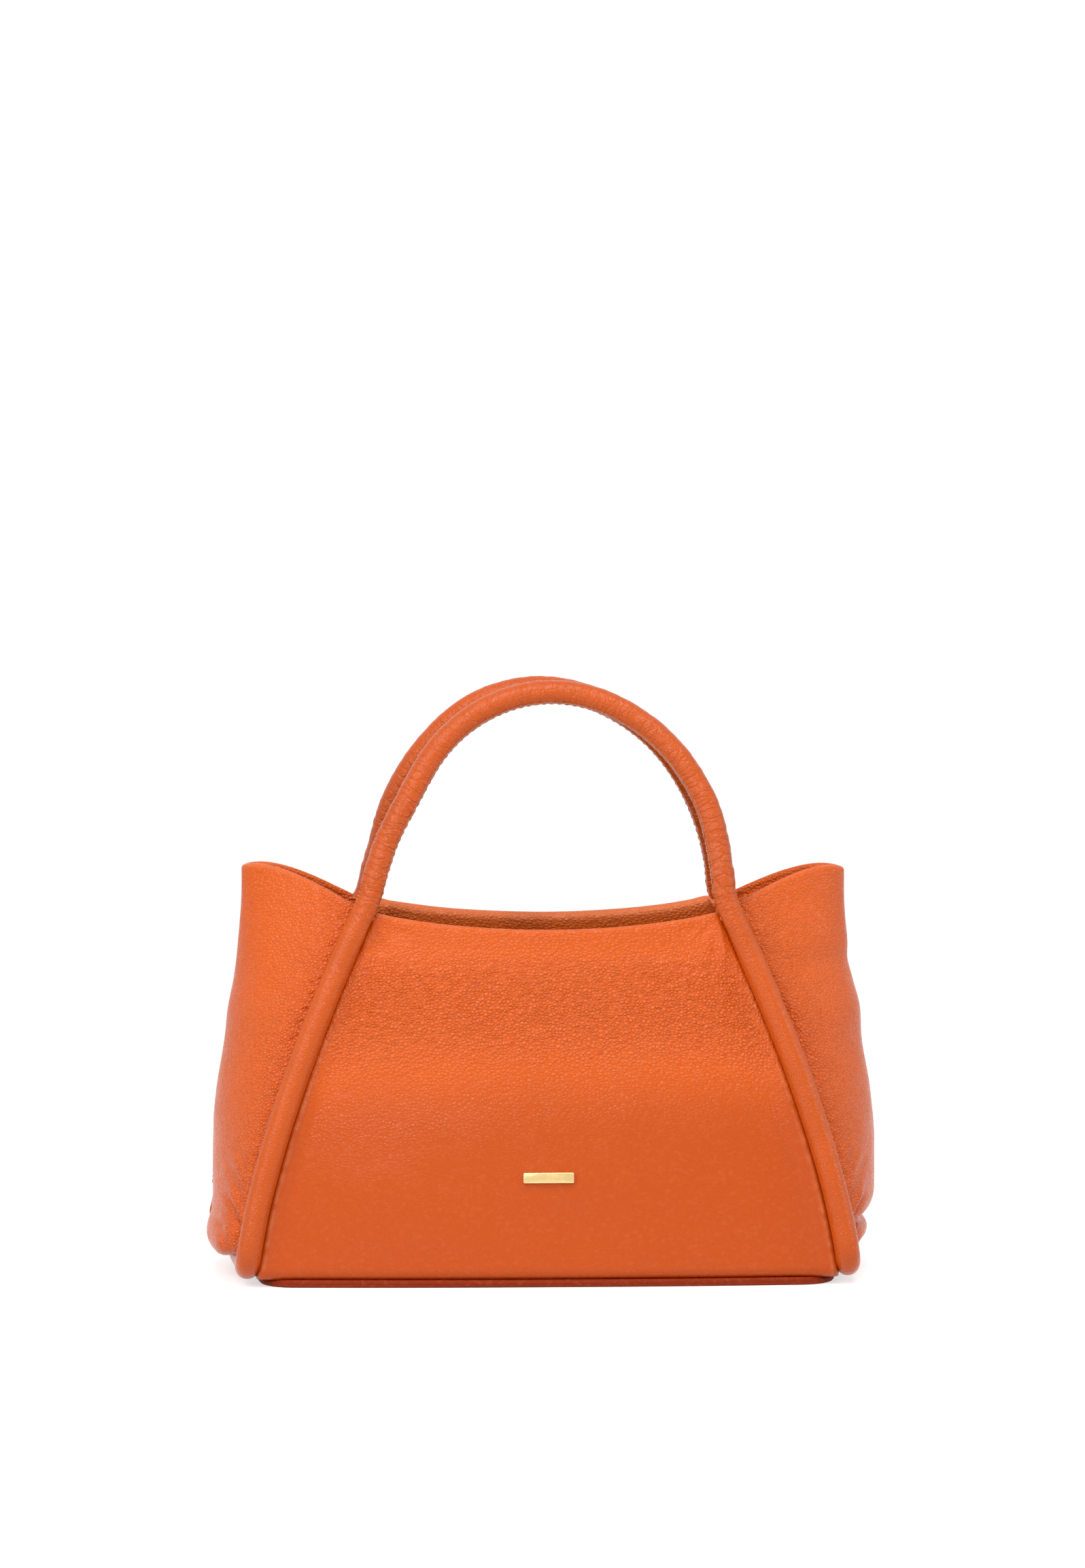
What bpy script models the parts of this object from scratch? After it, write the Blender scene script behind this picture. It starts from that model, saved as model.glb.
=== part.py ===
# Leather shopper bag with two rolled tube handles that run on as piping to the base.
# Metres, +Z up, +X to the wearer's right in the front view, the front faces -Y.
# The origin is the middle of the base, on the surface that the bag stands on.

import math

import bmesh
import bpy
from mathutils import Matrix, Vector

MM = 0.001

# Body, measured on the outer leather
BASE_SEAM_HALF_WIDTH = 143.5 * MM
RIM_SEAM_HALF_WIDTH = 86.0 * MM
SEAM_CURVE_POWER = 1.46
BASE_SEAM_HALF_DEPTH = 60.0 * MM
RIM_SEAM_HALF_DEPTH = 36.0 * MM
DEPTH_CURVE_POWER = 1.6
SEAM_RIM_HEIGHT = 179.0 * MM
PANEL_BOW = 5.0 * MM

# Side panels, which swell past the base and fold to a soft point at the rim
SIDE_HALF_WIDTH = 160.5 * MM
SIDE_RIM_HALF_WIDTH = 145.5 * MM
SIDE_SWELL_HEIGHT = 50.0 * MM
SIDE_FOLD_HEIGHT = 185.0 * MM
SIDE_TUCK = 8.7 * MM
SIDE_TUCK_HEIGHT = 29.0 * MM
SIDE_ROW_POWER = 1.35
SIDE_LEAD_X_SHARES = (0.60, 0.50)
SIDE_LEAD_Y_SHARES = (0.98, 0.78)
SIDE_TIP_SHARES = (0.50, 0.32)

# Rim heights
RIM_CENTRE_HEIGHT = 168.5 * MM
RIM_CENTRE_RISE = 8.0 * MM
SIDE_RIM_HEIGHT = 179.5 * MM
SIDE_RIM_RISE = 18.0 * MM
SIDE_RIM_RISE_SHARE = 0.62
SIDE_RIM_POWER = 1.5

# Layers of the wall, from the outside in
LEATHER = 2.0 * MM
STIFFENER = 0.8 * MM
LINING_INSET = 3.8 * MM
LINING = 0.8 * MM
FACING = 1.1 * MM
FACING_WIDTH = 30.0 * MM
CLEARANCE = 0.3 * MM

# Rolled tubes: a leather cover round a cord
TUBE_RADIUS = 6.0 * MM
COVER = 1.4 * MM
TUBE_PROUD = 3.4 * MM
TUBE_TOP_HEIGHT = 183.0 * MM
TUBE_BASE_HEIGHT = 9.6 * MM
ELBOW_RADIUS = 8.0 * MM
BASE_TUBE_BOW = 4.0 * MM
BASE_TUBE_RISE = 1.0 * MM
BASE_TUBE_LEAD = 3.0 * MM
SEAT_ANGLE = math.radians(40.0)
SEAT_SINK = 0.7 * MM
TUBE_BEVEL_STEPS = 3
CORD_BEVEL_STEPS = 1
CORD_GAP = 0.6 * MM
LEG_STEPS = 8
ELBOW_STEPS = 4
BASE_TUBE_STEPS = 9

# Handle loops, each an arc of an ellipse that leans in over the mouth
HANDLE_CENTRE_HEIGHT = 170.0 * MM
HANDLE_TOP_HEIGHT = 281.0 * MM
HANDLE_TOP_HALF_DEPTH = 9.5 * MM
FRONT_HANDLE_LEAN = 3.5 * MM
BACK_HANDLE_LEAN = 1.5 * MM
LEAN_SHARE = 0.5
HANDLE_STEPS = 22
FOOT_STEPS = 3
FOOT_GAP = 0.7 * MM

# Base
BASE_THICKNESS = 3.7 * MM
BOARD_THICKNESS = 2.5 * MM
BASE_CORNER = 5.0 * MM
BASE_SIDE_BOW = 5.0 * MM
BASE_OUTLINE_STEPS = 6

# Blank plate on the front
PLATE_WIDTH = 24.0 * MM
PLATE_HEIGHT = 5.0 * MM
PLATE_THICKNESS = 1.2 * MM
PLATE_CENTRE_HEIGHT = 52.0 * MM
PLATE_BEVEL = 0.4 * MM

# Magnetic snap on the facings
SNAP_DROP = 16.0 * MM
SNAP_RADIUS = 7.0 * MM
SNAP_THICKNESS = 1.6 * MM
STUD_RADIUS = 2.6 * MM
STUD_HEIGHT = 1.8 * MM
SOCKET_DEPTH = 0.9 * MM
SNAP_SIDES = 20

# Pockets inside: a flat zip pocket on the back, an open slip pocket on the front
POCKET_SHEET = 0.9 * MM
POCKET_GAP = 0.5 * MM
POCKET_WIDTH = 150.0 * MM
POCKET_HEIGHT = 84.0 * MM
POCKET_TOP_HEIGHT = 128.0 * MM
SLIP_POCKET_WIDTH = 130.0 * MM

# Zip of the back pocket
ZIP_LENGTH = 116.0 * MM
ZIP_SLOT_WIDTH = 9.0 * MM
ZIP_DROP = 14.0 * MM
CHAIN_WIDTH = 4.0 * MM
CHAIN_THICKNESS = 1.4 * MM
STOP_LENGTH = 3.0 * MM
SLIDER_LENGTH = 9.0 * MM
SLIDER_WIDTH = 8.0 * MM
SLIDER_PLATE = 1.2 * MM
BAIL_RADIUS = 0.6 * MM
BAIL_HALF_SPAN = 2.4 * MM
BAIL_HEIGHT = 3.0 * MM
BAIL_ARCH_POWER = 0.5
BAIL_STEPS = 8
PULL_AXIS_HEIGHT = 1.3 * MM
PULL_LENGTH = 22.0 * MM
PULL_WIDTH = 5.0 * MM
PULL_THICKNESS = 1.2 * MM
PULL_STRIP = 1.1 * MM
PULL_EYE_LENGTH = 4.0 * MM
PULL_EYE_WIDTH = 2.6 * MM

# Strap rings inside the side folds, each in a leather tab
RING_WIRE_RADIUS = 1.2 * MM
RING_HALF_HEIGHT = 8.0 * MM
RING_REACH = 12.0 * MM
RING_DROP = 12.0 * MM
RING_BAR_INSET = 7.0 * MM
TAB_WIDTH = 11.0 * MM
TAB_LEATHER = 1.1 * MM
TAB_TAIL = 1.2 * MM
TAB_SEAT_GAP = 0.7 * MM
RING_BEVEL_STEPS = 2
RING_ARC_STEPS = 10
TAB_ARC_STEPS = 12

# Colours, linear
LEATHER_COLOUR = (0.680, 0.125, 0.022, 1.0)
FACING_COLOUR = (0.640, 0.110, 0.020, 1.0)
LINING_COLOUR = (0.420, 0.330, 0.220, 1.0)
CORD_COLOUR = (0.620, 0.580, 0.500, 1.0)
BOARD_COLOUR = (0.120, 0.090, 0.060, 1.0)
FELT_COLOUR = (0.480, 0.470, 0.440, 1.0)
GOLD_COLOUR = (0.830, 0.620, 0.260, 1.0)
STEEL_COLOUR = (0.560, 0.560, 0.580, 1.0)
TAPE_COLOUR = (0.330, 0.260, 0.180, 1.0)

COLUMNS_FRONT = 12
COLUMNS_SIDE = 8
WALL_ROWS = 8
SIDE_ROWS = 10
FACING_ROWS = 2
POLE_SHARE = 0.2


def smooth_share(value):
    share = min(max(value, 0.0), 1.0)
    return share * share * (3.0 - 2.0 * share)


def between(start, end, share):
    return start + (end - start) * share


# Outline of the body at a height

def seam_half_width(height):
    share = max(height, 0.0) / SEAM_RIM_HEIGHT
    return between(BASE_SEAM_HALF_WIDTH, RIM_SEAM_HALF_WIDTH, share ** SEAM_CURVE_POWER)


def seam_half_depth(height):
    share = max(height, 0.0) / SEAM_RIM_HEIGHT
    return between(BASE_SEAM_HALF_DEPTH, RIM_SEAM_HALF_DEPTH, share ** DEPTH_CURVE_POWER)


def side_half_width(height):
    swell = smooth_share((height - SIDE_SWELL_HEIGHT) / (SIDE_FOLD_HEIGHT - SIDE_SWELL_HEIGHT))
    width = between(SIDE_HALF_WIDTH, SIDE_RIM_HALF_WIDTH, swell)
    bottom = base_tube_height(0.0) + seat_rise(1.0)
    tuck = min(max((SIDE_TUCK_HEIGHT - height) / (SIDE_TUCK_HEIGHT - bottom), 0.0), 1.0)
    return width - SIDE_TUCK * tuck * tuck


def long_wall_point(share, height, half_width, face):
    x = share * half_width
    bow_share = min(abs(x) / seam_half_width(height), 1.0)
    depth = seam_half_depth(height) + PANEL_BOW * (1.0 - bow_share * bow_share)
    return Vector((x, face * depth, height))


def side_wall_point(share, height, half_width, reach, side):
    # A share of 0 is the front seam, 1 the fold and 2 the back seam
    face = -1.0 if share <= 1.0 else 1.0
    step = share if share <= 1.0 else 2.0 - share
    rise = min(max(height / SEAM_RIM_HEIGHT, 0.0), 1.0)
    depth = seam_half_depth(height)
    lead_x = half_width + (reach - half_width) * between(*SIDE_LEAD_X_SHARES, rise)
    lead_y = depth * between(*SIDE_LEAD_Y_SHARES, rise)
    tip_y = depth * between(*SIDE_TIP_SHARES, rise)
    rest = 1.0 - step
    weights = (rest ** 3, 3.0 * rest * rest * step, 3.0 * rest * step * step, step ** 3)
    x = sum(weight * value for weight, value in zip(weights, (half_width, lead_x, reach, reach)))
    y = sum(weight * value for weight, value in zip(weights, (depth, lead_y, tip_y, 0.0)))
    return Vector((side * x, face * y, height))


def long_rim_height(share):
    return RIM_CENTRE_HEIGHT + RIM_CENTRE_RISE * share * share


def side_rim_height(share):
    step = share if share <= 1.0 else 2.0 - share
    rise = math.sin(0.5 * math.pi * min(step / SIDE_RIM_RISE_SHARE, 1.0))
    return SIDE_RIM_HEIGHT + SIDE_RIM_RISE * rise ** SIDE_RIM_POWER


# Objects and materials

def remove_objects():
    for old in list(bpy.data.objects):
        bpy.data.objects.remove(old, do_unlink=True)


def make_material(name, colour, roughness, metallic):
    material = bpy.data.materials.new(name)
    material.use_nodes = True
    shader = material.node_tree.nodes["Principled BSDF"]
    shader.inputs["Base Color"].default_value = colour
    shader.inputs["Roughness"].default_value = roughness
    shader.inputs["Metallic"].default_value = metallic
    return material


def make_materials():
    return {
        "leather": make_material("orange_leather", LEATHER_COLOUR, 0.55, 0.0),
        "facing": make_material("facing_leather", FACING_COLOUR, 0.60, 0.0),
        "lining": make_material("lining_cloth", LINING_COLOUR, 0.90, 0.0),
        "cord": make_material("handle_cord", CORD_COLOUR, 0.95, 0.0),
        "board": make_material("base_board_plastic", BOARD_COLOUR, 0.70, 0.0),
        "felt": make_material("stiffening_felt", FELT_COLOUR, 0.95, 0.0),
        "gold": make_material("gold_metal", GOLD_COLOUR, 0.25, 1.0),
        "steel": make_material("steel_metal", STEEL_COLOUR, 0.35, 1.0),
        "tape": make_material("zip_tape_cloth", TAPE_COLOUR, 0.90, 0.0),
    }


def link_object(name, data, material, parent=None):
    item = bpy.data.objects.new(name, data)
    bpy.context.scene.collection.objects.link(item)
    if data is not None:
        data.materials.append(material)
    item.parent = parent
    return item


def mesh_object(name, mesh_builder, material, parent=None):
    mesh = bpy.data.meshes.new(name)
    mesh_builder.to_mesh(mesh)
    mesh_builder.free()
    return link_object(name, mesh, material, parent)


def guide_empty(name, location, rotation=(0.0, 0.0, 0.0), parent=None):
    empty = link_object(name, None, None, parent)
    empty.location = location
    empty.rotation_euler = rotation
    return empty


def wall_sheet(name, columns, inset, thickness, material, closed=False, floor=False):
    # Columns of points run bottom to top, and the columns run so that faces look outwards
    builder = bmesh.new()
    grid = [[builder.verts.new(point) for point in column] for column in columns]
    count = len(grid)
    for index in range(count if closed else count - 1):
        near = grid[index]
        far = grid[(index + 1) % count]
        for row in range(len(near) - 1):
            builder.faces.new((near[row], far[row], far[row + 1], near[row + 1]))
    if floor:
        builder.faces.new([column[0] for column in reversed(grid)])
    builder.normal_update()
    shifts = [(vert, vert.normal * vert.calc_shell_factor()) for vert in builder.verts]
    for vert, shift in shifts:
        vert.co -= shift * inset
    item = mesh_object(name, builder, material)
    for polygon in item.data.polygons:
        polygon.use_smooth = True
    solidify = item.modifiers.new("thickness", "SOLIDIFY")
    solidify.thickness = thickness
    solidify.offset = -1.0
    solidify.use_even_offset = True
    return item


def tube(name, points, radius, material, wall=None, radii=None, parent=None,
         steps=TUBE_BEVEL_STEPS, closed=False):
    curve = bpy.data.curves.new(name, "CURVE")
    curve.dimensions = "3D"
    curve.bevel_depth = radius
    curve.bevel_resolution = steps
    curve.use_fill_caps = wall is None and not closed
    spline = curve.splines.new("POLY")
    spline.points.add(len(points) - 1)
    spline.use_cyclic_u = closed
    for index, point in enumerate(points):
        spline.points[index].co = (*point, 1.0)
        if radii is not None:
            spline.points[index].radius = radii[index] / radius
    item = link_object(name, curve, material, parent)
    if wall is not None:
        solidify = item.modifiers.new("cover", "SOLIDIFY")
        solidify.thickness = wall
        solidify.offset = -1.0
    return item


def plate(name, outline, bottom, thickness, material, parent=None):
    # A flat outline in X and Y, raised along Z
    builder = bmesh.new()
    face = builder.faces.new([builder.verts.new((x, y, bottom)) for x, y in outline])
    raised = bmesh.ops.extrude_face_region(builder, geom=[face])
    moved = [vert for vert in raised["geom"] if isinstance(vert, bmesh.types.BMVert)]
    bmesh.ops.translate(builder, verts=moved, vec=(0.0, 0.0, thickness))
    bmesh.ops.recalc_face_normals(builder, faces=builder.faces)
    return mesh_object(name, builder, material, parent)


def ring_outline(radius, sides):
    turns = [2.0 * math.pi * index / sides for index in range(sides)]
    return [(radius * math.cos(turn), radius * math.sin(turn)) for turn in turns]


def box_outline(width, height):
    half_x = 0.5 * width
    half_y = 0.5 * height
    return [(-half_x, -half_y), (half_x, -half_y), (half_x, half_y), (-half_x, half_y)]


def cut(item, cutter):
    boolean = item.modifiers.new("cut", "BOOLEAN")
    boolean.operation = "DIFFERENCE"
    boolean.object = cutter
    cutter.hide_render = True
    cutter.display_type = "WIRE"


def join(item, tool):
    boolean = item.modifiers.new("join", "BOOLEAN")
    boolean.operation = "UNION"
    boolean.object = tool
    tool.hide_render = True
    tool.display_type = "WIRE"


# Outer leather

def long_panel_columns(face, half_width_of, bottom, top_drop=0.0, count=COLUMNS_FRONT):
    columns = []
    for index in range(count + 1):
        share = 2.0 * index / count - 1.0
        share *= -face
        rim_share = share * half_width_of(RIM_CENTRE_HEIGHT) / seam_half_width(RIM_CENTRE_HEIGHT)
        top = long_rim_height(rim_share) - top_drop
        heights = [between(bottom, top, row / WALL_ROWS) for row in range(WALL_ROWS + 1)]
        columns.append([long_wall_point(share, height, half_width_of(height), face) for height in heights])
    return columns


def panel_half_width(height):
    return seam_half_width(height) - TUBE_RADIUS - CLEARANCE


def side_lead_length(height):
    rise = min(height / SEAM_RIM_HEIGHT, 1.0)
    half_width = seam_half_width(height)
    lead_x = (side_half_width(height) - half_width) * between(*SIDE_LEAD_X_SHARES, rise)
    lead_y = seam_half_depth(height) * (1.0 - between(*SIDE_LEAD_Y_SHARES, rise))
    return math.hypot(lead_x, lead_y)


def side_wall_columns(side):
    # The first and last columns stop short of the tubes
    columns = []
    last = 2 * COLUMNS_SIDE
    for index in range(last + 1):
        share = index / COLUMNS_SIDE
        if side < 0.0:
            share = 2.0 - share
        columns.append(side_wall_column(share, side))
    return columns


def side_wall_column(share, side):
    bottom = side_seat_height(share, side)
    top = side_rim_height(share)
    column = []
    for row in range(SIDE_ROWS + 1):
        height = between(bottom, top, (row / SIDE_ROWS) ** SIDE_ROW_POWER)
        column.append(side_panel_point(share, height, side))
    return column


def side_panel_point(share, height, side):
    start = (TUBE_RADIUS + CLEARANCE) / (3.0 * side_lead_length(height))
    place = between(start, 2.0 - start, 0.5 * share)
    return side_wall_point(place, height, seam_half_width(height), side_half_width(height), side)


def side_seat_height(share, side):
    # The lower edge rests on the outer shoulder of the base tube
    low = side_panel_point(share, base_tube_height(0.0) + seat_rise(1.0), side)
    middle = seam_half_width(TUBE_BASE_HEIGHT) + BASE_TUBE_BOW * base_tube_share(low.y)
    reach = (abs(low.x) - LEATHER - middle) / seat_reach()
    return base_tube_height(low.y) + seat_rise(min(max(reach, 0.0), 1.0)) - SEAT_SINK


def seat_reach():
    return (TUBE_RADIUS + CLEARANCE) * math.sin(SEAT_ANGLE)


def seat_rise(reach_share):
    # Height above the tube's middle at which a wall's inside clears it, for a share of the widest reach
    clear = TUBE_RADIUS + CLEARANCE
    return math.sqrt(clear ** 2 - (reach_share * seat_reach()) ** 2)


def make_outer_panels(materials):
    bottom = BASE_THICKNESS + CLEARANCE
    for name, face in (("front_panel", -1.0), ("back_panel", 1.0)):
        columns = long_panel_columns(face, panel_half_width, bottom)
        wall_sheet(name, columns, 0.0, LEATHER, materials["leather"])
    for name, side in (("left_side_panel", -1.0), ("right_side_panel", 1.0)):
        wall_sheet(name, side_wall_columns(side), 0.0, LEATHER, materials["leather"])


def stiffener_half_width(height):
    return panel_half_width(height) - LINING_INSET


def make_stiffeners(materials):
    bottom = BASE_THICKNESS + BOARD_THICKNESS + 2.0 * CLEARANCE
    for name, face in (("front_stiffener", -1.0), ("back_stiffener", 1.0)):
        columns = long_panel_columns(face, stiffener_half_width, bottom, FACING_WIDTH + CLEARANCE)
        wall_sheet(name, columns, LEATHER + CLEARANCE, STIFFENER, materials["felt"])


# Base

def base_half_width():
    return seam_half_width(TUBE_BASE_HEIGHT) - TUBE_RADIUS - CLEARANCE


def base_outline(inset):
    half_width = base_half_width() - inset
    points = []
    for index in range(2 * BASE_OUTLINE_STEPS + 1):
        share = index / BASE_OUTLINE_STEPS - 1.0
        depth = BASE_SEAM_HALF_DEPTH + PANEL_BOW * (1.0 - share * share) - inset
        points.append((share * (half_width - BASE_CORNER), -depth))
    side_depth = BASE_SEAM_HALF_DEPTH - inset - BASE_CORNER
    for index in range(BASE_OUTLINE_STEPS + 1):
        share = 2.0 * index / BASE_OUTLINE_STEPS - 1.0
        bow = BASE_SIDE_BOW * (1.0 - share * share) ** 2
        points.append((half_width + bow, share * side_depth))
    return points + [(-x, -y) for x, y in points]


def make_base(materials):
    plate("base_panel", base_outline(0.0), 0.0, BASE_THICKNESS, materials["leather"])
    board_bottom = BASE_THICKNESS + CLEARANCE
    plate("base_board", base_outline(LEATHER + CLEARANCE), board_bottom, BOARD_THICKNESS, materials["board"])


# Tubes

def base_tube_end():
    return BASE_SEAM_HALF_DEPTH + TUBE_PROUD - ELBOW_RADIUS - BASE_TUBE_LEAD


def base_tube_share(y):
    reach = base_tube_end() - BASE_TUBE_LEAD
    share = min(abs(y) / reach, 1.0)
    return (1.0 - share * share) ** 2


def base_tube_height(y):
    return TUBE_BASE_HEIGHT + BASE_TUBE_RISE * base_tube_share(y)


def leg_points(side, face):
    bend = TUBE_BASE_HEIGHT + ELBOW_RADIUS
    points = []
    for index in range(LEG_STEPS + 1):
        height = between(TUBE_TOP_HEIGHT, bend, index / LEG_STEPS)
        depth = seam_half_depth(height) + TUBE_PROUD
        points.append(Vector((side * seam_half_width(height), face * depth, height)))
    depth = seam_half_depth(bend) + TUBE_PROUD
    for index in range(1, ELBOW_STEPS + 1):
        turn = 0.5 * math.pi * index / ELBOW_STEPS
        height = bend - ELBOW_RADIUS * math.sin(turn)
        elbow_depth = depth - ELBOW_RADIUS * (1.0 - math.cos(turn))
        points.append(Vector((side * seam_half_width(height), face * elbow_depth, height)))
    points.append(points[-1] - Vector((0.0, face * BASE_TUBE_LEAD, 0.0)))
    return points


def base_tube_points(side):
    end = abs(leg_points(side, 1.0)[-1].y) - CLEARANCE
    straight = end - BASE_TUBE_LEAD
    places = [between(-straight, straight, step / BASE_TUBE_STEPS) for step in range(BASE_TUBE_STEPS + 1)]
    start_x = seam_half_width(TUBE_BASE_HEIGHT)
    points = []
    for y in [-end] + places + [end]:
        x = start_x + BASE_TUBE_BOW * base_tube_share(y)
        points.append(Vector((side * x, y, base_tube_height(y))))
    return points


def cord_radius():
    return TUBE_RADIUS - COVER - CORD_GAP


def make_leg_tubes(materials):
    for face_name, face in (("front", -1.0), ("back", 1.0)):
        for side_name, side in (("left", -1.0), ("right", 1.0)):
            points = leg_points(side, face)
            name = face_name + "_" + side_name + "_tube"
            tube(name, points, TUBE_RADIUS, materials["leather"], wall=COVER)
            tube(name + "_cord", points, cord_radius(), materials["cord"], steps=CORD_BEVEL_STEPS)
    for side_name, side in (("left", -1.0), ("right", 1.0)):
        points = base_tube_points(side)
        tube(side_name + "_base_tube", points, TUBE_RADIUS, materials["leather"], wall=COVER)
        tube(side_name + "_base_tube_cord", points, cord_radius(), materials["cord"], steps=CORD_BEVEL_STEPS)


# Handles, which fold about the rim

def handle_hinge():
    height = TUBE_TOP_HEIGHT + FOOT_GAP + TUBE_RADIUS
    return seam_half_depth(TUBE_TOP_HEIGHT) + TUBE_PROUD, height


def handle_point(turn, face):
    hinge_depth, hinge_height = handle_hinge()
    height = HANDLE_CENTRE_HEIGHT + (HANDLE_TOP_HEIGHT - HANDLE_CENTRE_HEIGHT) * math.sin(turn)
    share = (height - hinge_height) / (HANDLE_TOP_HEIGHT - hinge_height)
    depth = between(hinge_depth, HANDLE_TOP_HALF_DEPTH, share)
    lean = FRONT_HANDLE_LEAN if face < 0.0 else BACK_HANDLE_LEAN
    lean_x = lean * smooth_share(share / LEAN_SHARE)
    return Vector((handle_half_width() * math.cos(turn) + lean_x, face * depth, height))


def handle_half_width():
    # Wide enough for the feet to stand on the tops of the legs
    rise = math.sin(handle_start())
    return seam_half_width(TUBE_TOP_HEIGHT) / math.sqrt(1.0 - rise ** 2)


def handle_start():
    _, hinge_height = handle_hinge()
    return math.asin((hinge_height - HANDLE_CENTRE_HEIGHT) / (HANDLE_TOP_HEIGHT - HANDLE_CENTRE_HEIGHT))


def handle_arc(face, trim):
    # The arc starts and ends about the trim's length along it from the hinge
    start = handle_start() + trim / (HANDLE_TOP_HEIGHT - HANDLE_CENTRE_HEIGHT)
    turns = [between(start, math.pi - start, step / HANDLE_STEPS) for step in range(HANDLE_STEPS + 1)]
    return [handle_point(turn, face) for turn in turns]


def foot_rings(foot, direction):
    # A round foot on the cord, centred on the hinge
    neck = math.acos(cord_radius() / TUBE_RADIUS)
    low = -0.5 * math.pi * (1.0 - POLE_SHARE)
    turns = [between(low, neck, step / FOOT_STEPS) for step in range(FOOT_STEPS + 1)]
    points = [foot + direction * (TUBE_RADIUS * math.sin(turn)) for turn in turns]
    return points, [TUBE_RADIUS * math.cos(turn) for turn in turns]


def make_handles(materials):
    hinge_depth, hinge_height = handle_hinge()
    neck_length = math.sqrt(TUBE_RADIUS ** 2 - cord_radius() ** 2)
    for name, face in (("front_handle", -1.0), ("back_handle", 1.0)):
        hinge = Vector((0.0, face * hinge_depth, hinge_height))
        empty = guide_empty(name + "_hinge", hinge)
        cover = [point - hinge for point in handle_arc(face, neck_length + CLEARANCE)]
        tube(name + "_tube", cover, TUBE_RADIUS, materials["leather"], wall=COVER, parent=empty)
        ends = handle_arc(face, 0.0)
        first_points, first_radii = foot_rings(ends[0] - hinge, (cover[0] - ends[0] + hinge).normalized())
        last_points, last_radii = foot_rings(ends[-1] - hinge, (cover[-1] - ends[-1] + hinge).normalized())
        points = first_points + cover[1:-1] + last_points[::-1]
        radii = first_radii + [cord_radius()] * (len(cover) - 2) + last_radii[::-1]
        tube(name + "_cord", points, cord_radius(), materials["cord"], radii=radii, parent=empty)


# Lining and the leather facing round the mouth

def lining_seam_half_width(height):
    return between(base_half_width(), seam_half_width(height), lining_swell(height))


def lining_reach(height):
    return between(base_half_width() + BASE_SIDE_BOW, side_half_width(height), lining_swell(height))


def lining_swell(height):
    start = base_tube_height(0.0) + TUBE_RADIUS + CLEARANCE
    return smooth_share((height - start) / (SIDE_SWELL_HEIGHT - start))


def mouth_stations(first, last):
    # Places round the mouth: a wall, a share along it and its rim height
    stations = []
    for index in range(first, last):
        wall = index // 2
        if index % 2 == 0:
            count = COLUMNS_FRONT
            face = -1.0 if wall % 2 == 0 else 1.0
            for step in range(count):
                share = (2.0 * step / count - 1.0) * -face
                stations.append(("long", face, share, long_rim_height(share)))
        else:
            side = 1.0 if wall % 2 == 0 else -1.0
            for step in range(2 * COLUMNS_SIDE):
                share = step / COLUMNS_SIDE
                if side < 0.0:
                    share = 2.0 - share
                stations.append(("side", side, share, side_rim_height(share)))
    return stations


def station_point(station, height, seam_of, reach_of):
    kind, sign, share, _ = station
    if kind == "long":
        return long_wall_point(share, height, seam_of(height), sign)
    return side_wall_point(share, height, seam_of(height), reach_of(height), sign)


def make_lining(materials):
    # The inset raises the floor to lie on the base board
    bottom = BASE_THICKNESS + BOARD_THICKNESS + 2.0 * CLEARANCE - LINING_INSET
    columns = []
    for station in mouth_stations(0, 4):
        top = station[3] - FACING_WIDTH - CLEARANCE
        column = []
        for row in range(WALL_ROWS + 1):
            height = between(bottom, top, row / WALL_ROWS)
            column.append(station_point(station, height, lining_seam_half_width, lining_reach))
        columns.append(column)
    wall_sheet("lining", columns, LINING_INSET, LINING, materials["lining"], closed=True, floor=True)


def make_facing(materials):
    columns = []
    for station in mouth_stations(0, 4):
        top = station[3]
        column = []
        for row in range(FACING_ROWS + 1):
            height = between(top - FACING_WIDTH, top, row / FACING_ROWS)
            column.append(station_point(station, height, seam_half_width, side_half_width))
        columns.append(column)
    wall_sheet("mouth_facing", columns, LINING_INSET, FACING, materials["facing"], closed=True)


# Things fixed flat on a long wall

def wall_tilt(height):
    step = LEATHER
    return math.atan2(seam_half_depth(height - step) - seam_half_depth(height + step), 2.0 * step)


def wall_mount(name, height, inset, face, towards_mouth):
    # The empty's Z points away from the wall, its Y points up the wall
    tilt = wall_tilt(height)
    depth = seam_half_depth(height) + PANEL_BOW - inset / math.cos(tilt)
    facing_in = face if not towards_mouth else -face
    lean = 0.5 * math.pi - tilt if facing_in == face else 0.5 * math.pi + tilt
    turn = 0.0 if facing_in < 0.0 else math.pi
    matrix = Matrix.Rotation(turn, 4, "Z") @ Matrix.Rotation(lean, 4, "X")
    return guide_empty(name, (0.0, face * depth, height), matrix.to_euler())


def make_name_plate(materials):
    # A blank bar, whose prongs go through the leather to a washer
    outer = wall_mount("plate_place", PLATE_CENTRE_HEIGHT, -CLEARANCE, -1.0, False)
    outline = box_outline(PLATE_WIDTH, PLATE_HEIGHT)
    bar = plate("blank_plate", outline, 0.0, PLATE_THICKNESS, materials["gold"], outer)
    bevel = bar.modifiers.new("edge", "BEVEL")
    bevel.width = PLATE_BEVEL
    bevel.segments = 2


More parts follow.
